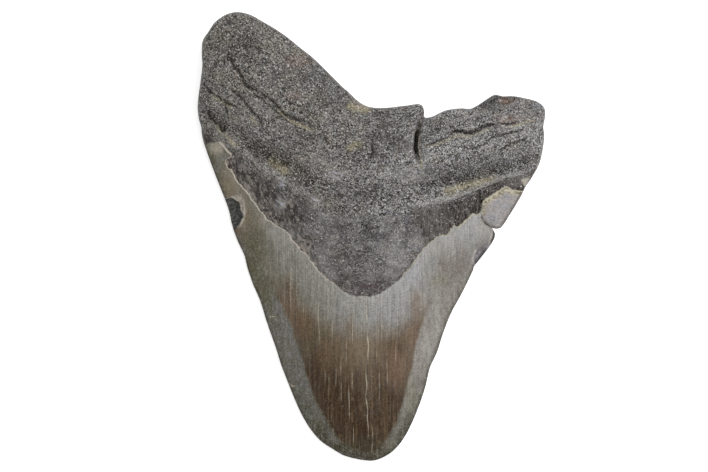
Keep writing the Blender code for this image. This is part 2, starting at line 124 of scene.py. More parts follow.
# Spot heights of the rim, where the two faces meet: low along the cutting edges, half way up the root
RIM_SPOTS = [
    (369, 461, 2.7), (300, 408, 2.2), (419, 405, 2.2), (263, 310, 2.4), (452, 310, 2.4), (240, 245, 2.8),
    (488, 248, 2.8), (222, 188, 3.8), (510, 214, 3.6), (206, 146, 6.0), (525, 188, 6.0), (200, 105, 10.0),
    (543, 150, 9.6), (237, 13, 12.0), (540, 104, 11.5), (327, 70, 12.5), (372, 107, 13.0), (424, 112, 13.0),
    (489, 97, 12.0), (370, 300, 3.5), (370, 180, 9.0),
]

# The line through both shoulders, where the sharp crown edge gives way to the round root
SHOULDERS = ((205.3, 144.0), (524.0, 190.0))

# The margin of the enamel on the lingual face, left to right: a deep V round the root
LINGUAL_MARGIN = [
    (203, 145.3), (213, 141.5), (220.6, 143), (226, 149), (231.5, 157), (226, 161.5), (229, 167.5),
    (234, 173),
    (237.5, 181), (246, 190.5), (253.5, 201), (261, 210.5), (272, 222), (287, 231.7), (296.3, 244),
    (310, 258), (321, 273), (336, 284), (346.8, 292.5), (360.6, 295.5), (374.4, 294.5), (385, 289),
    (398.9, 278.4), (409.6, 267), (420, 252), (428, 243.3), (440, 235), (446.1, 233.9), (450, 229),
    (453, 225.5), (457.6, 226), (466.8, 219.7), (472.1, 214.4), (480, 213.5), (480.6, 204.4), (489, 197.5),
    (498.2, 190.7), (507.3, 186.8), (513.5, 189.9), (520.3, 190.7), (526, 192),
]

# The margin on the labial face is a shallow chevron, high up the root
LABIAL_MARGIN = [
    (203, 145.3), (222, 150), (250, 164), (290, 181), (330, 193), (372, 198), (410, 195), (450, 189),
    (490, 186), (526, 188),
]

# Long marks of the lingual face: (points, half width, depth), the last two in millimetres; a ridge has a
# negative depth
LINGUAL_MARKS = {
    "neck groove": (
        [(203, 105), (216, 116), (240, 138), (256, 149), (271, 158), (287, 164), (314, 182), (343, 192),
         (377, 196), (417, 189), (440, 184), (480, 175), (507, 167), (541, 158)], 1.8, 0.4),
    "left neck groove": (
        [(206, 108), (222, 121), (240, 136), (256, 147.5), (271, 157), (287, 163.5), (305, 176), (332, 190)],
        1.6, 1.4),
    "right neck groove": (
        [(404, 190), (420, 187), (440, 183), (460, 178.5), (480, 174), (500, 170), (520, 164), (540, 158)],
        1.4, 1.4),
    "left neck ridge": (
        [(203, 117), (220, 133), (242, 153), (260, 167), (276, 176), (297, 190), (317, 202), (338, 208)],
        2.0, -0.8),
    "right neck ridge": (
        [(400, 208.5), (413, 205.5), (428, 203), (444, 200), (465, 194.5), (480, 187.5), (497, 180),
        (512, 174.5),
         (528, 169)], 1.0, -1.3),
    "left bourlette hollow": (
        [(233, 152), (247, 172), (262, 192), (283, 216), (303, 236), (313, 247)], 2.4, 0.9),
    "right bourlette hollow": ([(418, 226), (440, 215), (462, 206), (480, 200)], 2.4, 0.9),
    "cavity over the chip": ([(489, 190), (500, 184), (508, 181), (519, 184)], 1.1, 0.9),
    "lobe crack": (
        [(231, 52), (233.6, 66), (241, 75), (252, 86), (266, 95), (275, 104), (287, 115), (296, 121),
         (312, 127)], 1.1, 0.5),
    "lobe furrow": ([(207, 89), (221, 99.5), (232, 105.5), (246, 107), (255, 115), (264, 131)], 1.0, 0.4),
    "lobe edge hollow": ([(208, 112), (219, 123), (228, 132)], 1.1, 0.9),
    "centre furrow": ([(373, 116), (372, 130), (372.6, 148), (373, 162)], 1.1, 0.4),
    "right lobe crack": (
        [(424, 143), (438, 141), (448.5, 135), (460, 132.3), (471, 132.3), (481.6, 127), (494, 126),
         (508, 124.5), (530, 122)], 1.1, 0.5),
    "right lobe furrow": ([(488, 160), (496, 155), (508, 147.6), (522, 141), (534, 139)], 1.0, 0.4),
    "chip crack": ([(480, 213), (483, 221), (489, 226), (494, 229)], 0.35, 0.9),
}

# The slit is a deep split of the root, open at the notch, with its right lip worn down
SLIT = [(423, 113), (420, 122), (417.4, 131), (415.4, 143), (416, 155), (419, 166)]
SLIT_DEPTH, SLIT_HALF_WIDTH = 4.0, 0.2
LIP_DEPTH, LIP_WIDTH = 1.8, 1.9

# Long marks of the labial face
LABIAL_MARKS = {
    "neck": (
        [(208, 136), (250, 156), (290, 172), (330, 184), (372, 189), (410, 186), (450, 180), (526, 178)],
        1.8, 0.8),
    "left lobe furrow": ([(222, 60), (240, 84), (268, 108), (300, 126)], 0.9, 1.0),
    "right lobe furrow": ([(455, 134), (488, 128), (522, 124)], 0.9, 1.0),
}

# Patches knocked out of the lingual face: (corner points, depth in millimetres)
CHIPS = {
    "left chip": (
        [(221, 199), (228, 197.5), (234, 195), (240.3, 192.5), (242.5, 198), (244.8, 205), (244.3, 211),
         (244.8, 217.5), (240, 222.4), (238, 228), (231, 227)], 0.4),
    "left chip floor": (
        [(221, 198), (232, 198.5), (238.6, 202.4), (240.4, 210), (243, 216.5), (239.6, 225), (235, 231),
         (227, 220)], 0.6),
    "right chip": ([(496, 232), (490, 239), (483, 245), (476, 250.4), (473, 256), (472, 270),
        (500, 250)], 0.5),
    "broken lobe corner": (
        [(468, 110), (480, 108.5), (490, 109), (508, 105), (522, 98.5), (520, 90), (480, 88)], 2.6),
}
BARE_CHIPS = ("left chip floor",)

# Round pits of the lingual face: (x, y, radius, depth) with millimetres for the last two; a lump is negative
PITS = [
    (358.3, 146.2, 1.1, 1.1), (326.6, 142.4, 0.8, 0.8), (365, 226, 1.7, 0.9), (361, 270.5, 0.9, 0.5),
    (282, 203, 1.8, -0.8), (257, 186, 1.5, -0.5), (301, 219, 1.3, 0.4), (250, 62, 1.6, 0.6),
    (291, 88, 1.5, 0.5), (272, 68, 1.4, 0.4), (318, 99, 1.3, 0.5), (452, 122, 1.4, 0.4),
]

# Thin cracks that open at the bottom of the root's furrows and between them: (points, half width, depth)
ROOT_CRACKS = [
    ([(225, 50), (230, 58), (233.6, 66), (241, 75), (247, 86), (260, 93), (275, 104), (288, 117), (307, 123),
      (316, 131)], 0.17, 0.7),
    ([(204, 84), (208, 89.7), (217.7, 97.3), (229.5, 104.8), (241, 108)], 0.16, 0.5),
    ([(227, 88), (241, 98), (252, 112), (259.7, 120), (262, 126), (264, 135)], 0.15, 0.45),
    ([(225, 104), (227.4, 112.4), (228.4, 123)], 0.17, 0.4),
    ([(207, 111), (212, 118), (218.7, 124), (227, 132)], 0.3, 0.6),
    ([(248, 90), (262, 100), (275, 111), (292, 127)], 0.15, 0.4),
    ([(240, 41), (247, 47), (258, 49), (266, 56)], 0.16, 0.3),
    ([(283, 98), (292, 104), (303, 108)], 0.15, 0.3),
    ([(447.8, 134.5), (457, 131.6), (467, 133), (473, 131.6), (479.4, 128.3), (486, 125.4),
      (497, 124)], 0.2, 0.8),
    ([(424, 146), (434, 142.5), (446, 136.5)], 0.15, 0.4),
    ([(497, 124), (509, 124), (521, 121)], 0.17, 0.4),
    ([(496.6, 154), (505, 148), (513, 144), (523.4, 140), (531, 138)], 0.14, 0.45),
    ([(480, 143), (496, 137), (512, 133), (529, 128)], 0.15, 0.4),
    ([(462, 152), (478, 147), (492, 142)], 0.14, 0.25),
    ([(371, 139), (372.4, 148), (371, 161)], 0.28, 0.5),
    ([(424.2, 117.5), (422, 123), (419.6, 130), (417.6, 137)], 0.2, 0.5),
    ([(444, 204), (462, 198.5), (480, 191), (497, 184), (508, 179.5), (515, 180), (522, 184)], 0.2, 0.4),
    ([(480.4, 190), (479.6, 198), (481, 205), (480.6, 211)], 0.25, 0.6),
    ([(480.4, 214), (483, 221), (489, 226), (493, 229)], 0.2, 0.4),
]

# Pale hairline cracks down the enamel: (points, half width)
ENAMEL_CRACKS = [
    ([(366, 297), (366.4, 313), (368.2, 326)], 0.12),
    ([(368.2, 326), (367.4, 336), (368.6, 346), (367.8, 356), (368.6, 364)], 0.16),
    ([(366.8, 360), (366, 374), (366.8, 386), (366, 396), (367.6, 408), (367.4, 420), (368.4, 428),
      (367.8, 441)],
     0.14),
    ([(372, 424), (372.6, 440), (371.4, 458)], 0.1),
    ([(318.4, 276), (318.8, 300), (318.4, 320), (320.4, 350)], 0.12),
    ([(332, 289), (331.6, 310)], 0.1),
    ([(332.2, 319), (332, 345)], 0.11),
    ([(346, 299), (346.2, 319)], 0.09),
    ([(346.4, 338), (346, 366)], 0.1),
    ([(352.5, 313), (352.6, 346)], 0.11),
    ([(352, 368), (352.2, 392)], 0.12),
    ([(361.6, 322), (361.8, 342)], 0.09),
    ([(381.5, 294), (381.2, 316), (381.7, 338)], 0.13),
    ([(386.3, 306), (386.2, 322)], 0.08),
    ([(397.5, 300), (397.6, 334)], 0.1),
    ([(403, 279), (403.2, 319)], 0.09),
    ([(341, 353), (340.8, 378)], 0.11),
    ([(341.4, 381), (341, 402)], 0.1),
    ([(336.2, 366), (336, 388)], 0.09),
    ([(348.6, 384), (349.7, 422)], 0.12),
    ([(353.5, 424), (353.3, 444)], 0.1),
    ([(376.8, 347), (376.6, 369)], 0.09),
    ([(379.5, 366), (379.3, 403)], 0.1),
    ([(387, 358), (387.2, 388)], 0.1),
    ([(395.8, 338), (395.6, 364)], 0.09),
    ([(303.4, 297), (303.6, 321)], 0.09),
    ([(290.6, 262), (290.4, 292), (290.8, 316)], 0.1),
    ([(325, 368), (325.2, 386)], 0.09),
    ([(275, 240), (275.4, 262)], 0.08),
    ([(424, 262), (424.3, 290)], 0.08),
    ([(412, 280), (412.4, 306)], 0.08),
    ([(267, 318), (272, 316.6), (278, 317)], 0.13),
    ([(273, 318), (278, 321)], 0.1),
    ([(289.5, 383), (293, 386.6), (296, 385.4)], 0.14),
]
CRACK_DEPTH = 0.06

# Tan sediment along the root's cracks: (points, half width)
TAN_LINES = [
    ([(422, 147), (432, 145), (441, 142), (449.7, 138), (459, 134.8), (467, 136.2), (476.5, 132.6),
      (486, 129),
      (494, 127)], 0.34),
    ([(505, 127), (515, 125.6), (524.4, 123.5), (538, 119.7)], 0.34),
    ([(277, 108), (287, 119), (296, 124), (305, 128), (314, 133)], 0.42),
    ([(250, 118), (257, 127)], 0.4),
    ([(210, 95), (221, 102), (234, 109)], 0.45),
    ([(216.7, 125), (226, 137), (237.3, 149.2)], 0.7),
    ([(347, 151), (353, 147), (362, 143)], 0.9),
    ([(440, 194), (460, 187.5), (480, 181.5), (498, 176)], 1.1),
    ([(268, 157), (278, 165), (288, 174)], 1.3),
    ([(346, 104.5), (360, 108.5), (372, 109.5)], 0.9),
    ([(418.6, 126), (417.6, 134), (417.2, 142), (418.4, 152), (420.4, 162), (422, 172)], 0.36),
]

# Thin pale edges of broken enamel, and thin dark ones: (points, half width)
PALE_LINES = [
    ([(242, 197), (244, 205), (244.4, 216), (241.2, 223.6), (238.8, 228.6)], 0.26),
    ([(479.4, 213.4), (484, 222.4), (488.7, 226.6), (492.2, 231), (491, 238), (487.6, 246.4)], 0.22),
    ([(476.4, 249), (473.8, 256), (473, 265)], 0.25),
]
DARK_LINES = [
    ([(493.2, 229), (494.4, 233), (493.6, 238), (490.5, 243.5)], 0.38),
    ([(487.5, 248), (482, 255), (477, 261), (474.4, 264.6)], 0.38),
]

# Soft stains of the enamel by tone: (x, y, reach across, reach down, strength); slate, frost and pale
# are partly the enamel's colour and partly a painted sheen
ENAMEL_STAINS_AND_SHEEN = {
    "amber": [(233, 186, 12, 22, 0.9), (262, 222, 7, 7, 0.8), (246, 214, 8, 12, 0.6)],
    "olive": [
        (254, 258, 10, 28, 0.8), (262, 292, 9, 20, 0.8), (306, 346, 9, 12, 0.5), (440, 281, 10, 7, 0.9),
        (318, 427, 5, 12, 0.6), (318, 333, 12, 6, 0.6), (212, 160, 5, 6, 0.6), (250, 236, 8, 7, 0.6),
        (412, 394, 6, 20, 0.7), (388, 449, 8, 8, 0.7), (272, 288, 6, 12, 0.4),
    ],
    "moss": [(346, 450, 20, 10, 1.0), (320, 434, 8, 12, 1.0)],
    "rust": [
        (288, 302, 10, 26, 0.9), (304, 328, 10, 18, 0.8), (416, 304, 6, 14, 0.6), (414, 334, 6, 14, 0.6),
        (350, 327, 4, 8, 0.6), (397, 366, 11, 20, 0.7), (464, 254, 6, 6, 0.4), (326, 356, 10, 14, 0.4),
    ],
    "dusk": [(456, 264, 14, 12, 0.9), (445, 266, 9, 18, 0.9), (484, 246, 8, 6, 0.6)],
    "slate": [
        (390, 304, 18, 22, 0.9), (345, 306, 9, 10, 0.7), (284, 238, 10, 12, 0.5),
        (374, 312, 8, 16, 0.5),
    ],
    "frost": [(411, 272, 10, 14, 0.9), (276, 233, 7, 8, 0.9), (287, 250, 7, 8, 0.6), (400, 288, 10, 8, 0.5),
              (470, 230, 10, 10, 0.5)],
    "straw": [(362, 350, 14, 18, 0.5), (380, 328, 8, 12, 0.5), (350, 318, 4, 8, 0.3)],
    "umber": [
        (330, 408, 18, 30, 1.0), (356, 436, 30, 20, 1.0), (311, 374, 11, 20, 1.0), (392, 414, 12, 22, 0.9),
        (355, 404, 12, 16, 0.5), (324, 396, 8, 14, 1.0), (306, 348, 8, 14, 0.6), (355, 452, 18, 7, 0.9),
        (396, 348, 9, 10, 0.5), (350, 447, 26, 10, 1.0), (322, 422, 12, 18, 1.0),
    ],
    "ochre": [(237, 231.5, 3.5, 4.5, 0.7)],
    "pale": [
        (436, 249, 9, 8, 0.8), (484, 228, 9, 7, 0.8), (216, 149, 7, 6, 0.9), (436, 318, 5, 22, 0.5),
        (428, 346, 5, 16, 0.4),
    ],
}

# Soft patches of the root by tone. Red and slate are stains, fleck marks pale flecks and sparkle where the
# painted glints gather; bright and shade are lighter and darker patches that paint light and shade on its
# ridges, lumps, grooves and pits, partly mixed with the root's own tone
ROOT_STAINS_AND_PAINTED_LIGHT = {
    "red": [
        (297, 62, 15, 7, 0.4), (505, 101, 8, 3.5, 1.0), (364, 106, 10, 4, 0.5), (508, 119, 14, 7, 0.5),
        (295, 97, 9, 5, 0.4), (487, 236, 5, 6, 0.7),
    ],
    "bright": [
        (405, 175, 24, 9, 0.9), (490, 148, 20, 8, 0.5), (514, 130, 24, 12, 0.5), (240, 118, 24, 16, 0.4),
        (335, 175, 10, 6, 0.9), (328, 232, 10, 20, 0.3), (396, 256, 12, 22, 1.0), (243, 192, 8, 10, 0.7),
        (412, 146, 7, 16, 0.8), (224, 130, 10, 14, 0.6), (280, 207, 7, 8, 0.6), (310, 210, 8, 8, 0.7),
        (332, 220, 8, 8, 0.6), (268, 114, 8, 6, 0.9), (290, 234, 16, 12, 0.7), (326, 272, 10, 10, 0.8),
        (292, 243, 9, 9, 0.8), (432, 214, 17, 14, 0.6), (438, 234, 12, 10, 0.6), (516, 180, 12, 8, 0.8),
        (316, 162, 10, 8, 0.8), (322, 256, 9, 14, 0.9), (284, 130, 8, 8, 0.5), (424, 160, 10, 10, 0.7),
        (262, 104, 14, 10, 0.5), (391, 272, 10, 9, 0.9), (420, 242, 10, 8, 0.9), (311, 263, 8, 9, 0.8),
        (246, 196, 8, 10, 0.6),
    ],
    "shade": [
        (252, 30, 30, 14, 0.5), (206, 70, 12, 50, 0.4), (322, 76, 14, 14, 1.0), (388, 136, 26, 22, 1.0),
        (482, 163, 18, 9, 1.0), (470, 180, 20, 9, 1.0), (392, 194, 30, 9, 0.6),
        (350, 128, 14, 16, 0.4), (290, 142, 26, 8, 0.3), (365, 226, 5, 5, 0.9), (364, 240, 10, 14, 0.5),
        (298, 72, 24, 16, 0.7), (334, 98, 20, 16, 1.0), (236, 48, 28, 18, 1.0), (204, 98, 8, 10, 1.0),
        (236, 114, 8, 7, 0.7), (436, 130, 16, 11, 1.0), (364, 150, 30, 14, 0.8), (492, 166, 34, 9, 0.8),
        (274, 158, 20, 12, 1.0), (305, 130, 20, 12, 0.7), (350, 212, 20, 8, 0.6),
        (300, 186, 12, 14, 1.0), (302, 208, 9, 12, 1.0), (378, 196, 44, 9, 1.0),
        (209, 137, 7, 6, 1.0), (490, 104, 20, 6, 0.8), (526, 116, 10, 10, 0.4), (346, 112, 14, 8, 0.6),
        (458, 174, 30, 12, 1.0), (310, 114, 14, 12, 0.8), (388, 116, 30, 9, 0.9), (524, 160, 18, 9, 1.0),
        (266, 184, 8, 8, 0.6), (282, 192, 10, 7, 0.6), (365, 226, 4, 4, 1.0),
    ],
    "slate": [(318, 74, 8, 8, 0.8), (333, 88, 6, 10, 0.6), (430, 145, 12, 14, 0.4), (262, 130, 14, 10, 0.3),
              (537, 106, 7, 8, 0.8)],
    "sparkle": [(455, 148, 44, 26, 1.0), (335, 176, 24, 10, 0.8), (398, 250, 12, 22, 0.5),
        (420, 200, 40, 10, 0.8),
                (515, 150, 30, 26, 0.6)],
    "fleck": [(281, 186, 3, 6, 0.8), (280, 204, 5, 5, 1.0), (316, 201, 6, 4, 0.6), (335, 175, 9, 4, 0.7)],
}

# The root's fabric runs along this line, over its whole length in millimetres
FLOW_LINE = [
    (180, 60), (203, 92), (220, 112), (242, 133), (266, 151), (290, 167), (317, 185), (345, 196), (377, 200),
    (407, 196), (437, 189), (470, 178), (500, 168), (527, 160), (565, 147),
]
FLOW_LENGTH = 122.0

# The inner edge of the bevel that runs round the crown
BEVEL_LINE = [
    (241, 236), (254, 256), (268, 277), (277, 294), (286, 314), (293, 332), (299, 350), (304, 368),
    (311, 389),
    (318, 405), (326, 420), (335, 434), (346, 444.5), (358, 450.5), (370, 452), (380, 448), (388, 438),
    (395, 425), (402, 407), (407.5, 389), (411.5, 370), (415, 352), (420, 332), (427, 312), (436, 294),
    (447.5, 279), (458, 262), (466, 250), (474, 236),
]

# The loose fragment of enamel at the right shoulder, and a small pale one beyond it
FRAGMENT = [
    (481, 203), (489, 196), (498, 190), (507, 186), (530, 186), (530, 215), (500, 232), (494, 229),
    (487, 225),
    (482, 220),
]
CORNER = [(519.5, 180), (524, 178.6), (531, 177), (526, 187), (523, 186)]

# How finely the faces are cut up, in millimetres; the last two are shares of the lattice's step
OUTLINE_STEP = 0.42
LINGUAL_LATTICE = 0.39
LABIAL_LATTICE = 0.6
RIM_RINGS = (0.06, 0.18, 0.36, 0.6)
MARK_STEP = 0.45
ROW_ROOM = 0.1
LATTICE_ROOM = 0.55
CHUNK = 4096

# The noise that bends the margins and cracks starts here, so that each run gives the same shape
NOISE_SEED = 1

# What the scene's light makes of a white surface that faces up, and what a surface's gloss adds to any colour
LIGHT_LEVEL = 1.30
GLOSS_VEIL = 0.008
DARKEST_PAINT = 0.003

# The map of both faces for baking, in shares of the map: a face's width, the lingual face's middle, and how
# far beside it the labial face lies
BAKE_WIDTH, BAKE_MIDDLE, BAKE_STEP = 0.48, (0.25, 0.5), 0.5

# The floor and the lights, in metres
FLOOR_HALF, FLOOR_TONE, FLOOR_GLOW = 3.0, 0.92, 0.45
SURROUND_STRENGTH = 0.72
KEY_PLACE, KEY_SIZE, KEY_POWER = (0.34, 0.16, 0.87), 0.8, 7.0

# The camera's long lens and sensor in millimetres, its view as a share of the photograph's, and the height in
# metres at which that view is measured
LENS, SENSOR = 600.0, 36.0
VIEW_SHARE = 0.998
VIEW_LEVEL = 0.006


def to_plan(pixels, centre=(0.0, 0.0)):
    """Places of the photograph as millimetres in the plan, y up, measured from centre."""
    places = np.asarray(pixels, float)[:, :2] * (MM_PER_PIXEL, -MM_PER_PIXEL)
    return places - centre


def smooth_line(points, step, closed=False):
    """A smooth curve through the points, which it keeps, cut into pieces no longer than step."""
    points = np.asarray(points, float)
    if closed:
        before, after = np.roll(points, 1, 0), np.roll(points, -1, 0)
        ends, next_after = after, np.roll(points, -2, 0)
    else:
        padded = np.vstack([2 * points[0] - points[1], points, 2 * points[-1] - points[-2]])
        before, points, ends, next_after = padded[:-3], padded[1:-2], padded[2:-1], padded[3:]
    made = []
    for p0, p1, p2, p3 in zip(before, points, ends, next_after):
        length = np.linalg.norm(p2 - p1)
        start = (p2 - p0) / (np.linalg.norm(p1 - p0) + length) * length
        stop = (p3 - p1) / (length + np.linalg.norm(p3 - p2)) * length
        count = max(1, int(np.ceil(length / step)))
        t = np.arange(count)[:, None] / count
        made.append(
            (2 * t**3 - 3 * t**2 + 1) * p1 + (t**3 - 2 * t**2 + t) * start
            + (3 * t**2 - 2 * t**3) * p2 + (t**3 - t**2) * stop
        )
    if not closed:
        made.append(ends[-1:])
    return np.vstack(made)


def distance_to(places, line, closed=False):
    """Each place's distance to a line, and how far along the line, from 0 to 1, its nearest point is."""
    starts = line if closed else line[:-1]
    steps = np.roll(line, -1, 0)[: len(starts)] - starts
    lengths = np.linalg.norm(steps, axis=1)
    passed = np.concatenate([[0.0], np.cumsum(lengths)])
    gaps, along = np.empty(len(places)), np.empty(len(places))
    for first in range(0, len(places), CHUNK):
        some = slice(first, first + CHUNK)
        x = places[some, 0, None] - starts[:, 0]
        y = places[some, 1, None] - starts[:, 1]
        share = np.clip((x * steps[:, 0] + y * steps[:, 1]) / lengths**2, 0, 1)
        squared = (x - share * steps[:, 0]) ** 2 + (y - share * steps[:, 1]) ** 2
        nearest = squared.argmin(1)
        rows = np.arange(len(nearest))
        gaps[some] = np.sqrt(squared[rows, nearest])
        along[some] = passed[nearest] + share[rows, nearest] * lengths[nearest]
    return gaps, along / passed[-1]


def inside(places, ring):
    """Which places lie inside a closed ring."""
    x, y = places.T
    found = np.zeros(len(places), bool)
    for (x0, y0), (x1, y1) in zip(ring, np.roll(ring, -1, 0)):
        if y0 != y1:
            found ^= ((y0 > y) != (y1 > y)) & (x < (x1 - x0) * (y - y0) / (y1 - y0) + x0)
    return found


def signed_gap(places, line, around):
    """Distance to a line, positive on the side that the places around close off."""
    gap, _ = distance_to(places, line)
    return np.where(inside(places, np.vstack([line, around])), gap, -gap)


def smooth_step(low, high, value):
    t = np.clip((value - low) / (high - low), 0, 1)
    return t * t * (3 - 2 * t)


def bump(value, middle, half_width):
    """1 at the middle, falling off to nothing on both sides."""
    return np.exp(-(((value - middle) / half_width) ** 2))


def smooth_min(a, b, blend):
    """The lower of two heights, rounded over where they come within blend of each other."""
    share = np.clip(0.5 + 0.5 * (b - a) / blend, 0, 1)
    return b + (a - b) * share - blend * share * (1 - share)


def sheet(spots, centre):
    """The smooth sheet through spot heights (a thin-plate spline), as a function of places in the plan."""
    knots = to_plan(spots, centre)
    heights = np.array([spot[2] for spot in spots], float)

    def bending(places):
        squared = ((places[:, None] - knots) ** 2).sum(2)
        return squared * np.log(squared + 1e-9)

    flat = np.column_stack([np.ones(len(knots)), knots])
    system = np.block([[bending(knots), flat], [flat.T, np.zeros((3, 3))]])
    weights = np.linalg.solve(system, np.concatenate([heights, np.zeros(3)]))

    def height(places):
        return bending(places) @ weights[:-3] + np.column_stack([np.ones(len(places)), places]) @ weights[-3:]

    return height


def offset(line, distance, closed=False):
    """The line moved sideways by distance, to its right as it runs."""
    if closed:
        ahead = np.roll(line, -1, 0) - np.roll(line, 1, 0)
    else:
        ahead = np.gradient(line, axis=0)
    ahead /= np.linalg.norm(ahead, axis=1)[:, None]
    return line + distance * np.column_stack([ahead[:, 1], -ahead[:, 0]])


def wander(line, amount, reach):
    """The line made a little crooked: each point moves up to amount, with bends about reach long."""
    moves = [noise.noise_vector(Vector((x / reach, y / reach, 3.7))) for x, y in line]
    return line + amount * np.array([(move.x, move.y) for move in moves])


class Tooth:
    """The shape of the tooth: both faces as heights over the plan, and the masks that colour them."""

    def __init__(self):
        outline = smooth_line(to_plan(OUTLINE), OUTLINE_STEP, closed=True)
        self.centre = (outline.min(0) + outline.max(0)) / 2
        self.outline = outline - self.centre
        self.lingual = sheet(LINGUAL_SPOTS, self.centre)
        self.labial = sheet(LABIAL_SPOTS, self.centre)
        self.rim = sheet(RIM_SPOTS, self.centre)
        self.slit = wander(self.line(SLIT, 0.4), 0.2, 1.2)
        self.root_cracks = [
            (wander(self.line(points, 0.4), 0.22, 0.8), half_width, depth)
            for points, half_width, depth in ROOT_CRACKS
        ]
        self.enamel_cracks = [
            (wander(self.line(points, 0.4), 0.09, 2.4), half_width) for points, half_width in ENAMEL_CRACKS
        ]
        self.margins = {
            True: wander(self.line(LINGUAL_MARGIN, 0.4), 0.3, 1.1),
            False: wander(self.line(LABIAL_MARGIN, 0.4), 0.8, 2.4),
        }

    def line(self, pixels, step=1.0):
        return smooth_line(to_plan(pixels, self.centre), step)

    def rootness(self, places):
        """0 on the crown, 1 on the root, by the line through the shoulders."""
        left, right = to_plan(SHOULDERS, self.centre)
        along = (right - left) / np.linalg.norm(right - left)
        above = (places - left) @ np.array([-along[1], along[0]])
        return smooth_step(-4.0, 7.0, above)

    def enamel(self, places, lingual):
        """Signed distance to the enamel's margin on a face: positive on the crown's side."""
        line = self.margins[lingual]
        return signed_gap(places, line, [(60, line[-1][1]), (60, -80), (-60, -80), (-60, line[0][1])])

    def marks(self, places, table):
        """How deep a table of long marks cuts; each fades towards its ends."""
        cut = np.zeros(len(places))
        for points, half_width, depth in table.values():
            gap, along = distance_to(places, self.line(points))
            fade = np.sqrt(np.clip(4 * along * (1 - along), 0, 1))
            cut += depth * fade * bump(gap, 0, half_width)
        return cut

    def slit_cut(self, places):
        """How deep the slit itself cuts, and the worn lip on its right side."""
        gap, along = distance_to(places, self.slit)
        fade = smooth_step(0, 0.4, 1.02 - along) * (0.2 + 0.8 * smooth_step(0.1, 0.5, along))
        middle = np.interp(places[:, 1], self.slit[::-1, 1], self.slit[::-1, 0])
        lip = np.where(places[:, 0] > middle, LIP_DEPTH * bump(gap, 0, LIP_WIDTH), 0)
        return fade * SLIT_DEPTH * bump(gap, 0, SLIT_HALF_WIDTH), fade * lip

    def chips(self, places, names=tuple(CHIPS)):
        """How deep the patches are knocked out, and a mask of them."""
        cut, mask = np.zeros(len(places)), np.zeros(len(places))
        for name in names:
            corners, depth = CHIPS[name]
            ring = to_plan(corners, self.centre)
            gap, _ = distance_to(places, ring, closed=True)
            within = inside(places, ring)
            cut += np.where(within, depth * smooth_step(0, 0.8, gap), 0)
            mask = np.maximum(mask, np.where(within, smooth_step(0, 0.7, gap), 0))
        return cut, mask

    def pits(self, places):
        cut = np.zeros(len(places))
        for x, y, radius, depth in PITS:
            away = np.linalg.norm(places - to_plan([(x, y)], self.centre), axis=1)
            cut += depth * bump(away, 0, radius)
        return cut

    def thin_cracks(self, places):
        """How deep the root's thin cracks cut, and a mask of the enamel's hairlines."""
        cut, pale = np.zeros(len(places)), np.zeros(len(places))
        for line, half_width, depth in self.root_cracks:
            gap, along = distance_to(places, line)
            fade = np.clip(6 * along * (1 - along), 0, 1)
            cut += depth * fade * bump(gap, 0, half_width)
        for line, half_width in self.enamel_cracks:
            gap, along = distance_to(places, line)
            fade = np.clip(5 * along * (1 - along), 0, 1) * min(1, half_width / 0.15)
            pale = np.maximum(pale, fade * np.clip(1.3 - gap / half_width, 0, 1))
        return cut, pale

    def lingual_face(self, places, gap, root, rim):
        """Heights of the lingual face, and its masks."""
        past_bevel = gap - BEVEL_WIDTH
        blade = 0.55 * np.sqrt(gap) + 0.2 * gap + 0.55 * (past_bevel + np.hypot(past_bevel, 1.5))
        round_rim = 2.5 * np.sqrt(gap) + 0.5 * gap
        room = blade + (round_rim - blade) * root
        broad = self.marks(places, LINGUAL_MARKS) + self.pits(places)
        thin, pale = self.thin_cracks(places)
        knocked, _ = self.chips(places)
        slit, lip = self.slit_cut(places)
        margin = self.enamel(places, True)
        cuts = broad + thin + slit + lip + knocked + CRACK_DEPTH * pale
        cuts += ENAMEL_STEP * (1 - smooth_step(-0.1, 0.4, margin))
        top = rim + smooth_min(self.lingual(places) - rim, room, 2.5) - cuts * smooth_step(0, 1.5, gap)
        top = np.maximum(top, rim + 0.12 * room)

        masks = {
            "margin": margin,
            # painted shade in the hollows: darker the deeper the long marks and pits cut
            "hollow_shade": np.clip(smooth_step(0.1, 1.8, broad), 0, 1),
            "fissure": smooth_step(0.1, 0.34, thin),
            # ridges and lumps painted lighter: partly wear and partly a painted highlight
            "worn_and_lit": smooth_step(0.1, 1.0, -broad),
            "slit": smooth_step(1.9, 3.4, slit),
            "wall": smooth_step(0.1, 0.8, slit + 0.35 * lip),
            "crack": pale,
            "tan": self.traces(places, TAN_LINES),
            "pale edge": self.traces(places, PALE_LINES),
            "dark edge": self.traces(places, DARK_LINES),
            "chip": self.chips(places, BARE_CHIPS)[1],
            "broken": self.chips(places, ("left chip", "right chip"))[1],
            "corner": self.patch(places, CORNER),
        }
        return top, masks

    def labial_face(self, places, gap, root, rim):
        """Heights of the labial face, and its masks."""
        thin_edge = 0.3 * np.sqrt(gap) + 0.3 * gap
        under_round = 2.4 * np.sqrt(gap) + 0.45 * gap
        room = thin_edge + (under_round - thin_edge) * root
        cuts = self.marks(places, LABIAL_MARKS)
        margin = self.enamel(places, False)
        # Painted shade in the labial face's hollows, darker the deeper its marks cut
        hollow_shade = smooth_step(0.1, 1.2, cuts)
        cuts += ENAMEL_STEP * (1 - smooth_step(-0.1, 0.4, margin))
        bottom = rim - smooth_min(rim - self.labial(places), room, 1.2) + cuts * smooth_step(0, 1.5, gap)
        bottom = np.minimum(bottom, rim - 0.08 * room)
        none = np.zeros(len(places))
        names = (
            "fissure", "worn_and_lit", "slit", "wall", "crack", "tan", "pale edge", "dark edge", "chip", "broken",
            "corner",
        )
        return np.maximum(bottom, 0), {"margin": margin, "hollow_shade": hollow_shade, **{name: none for name in names}}

    def core(self, places):
        """Signed distance to the inner edge of the bevel: positive inside it."""
        line = wander(self.line(BEVEL_LINE, 0.5), 0.35, 2.5)
        return signed_gap(places, line, [(line[-1][0], 60), (line[0][0], 60)])

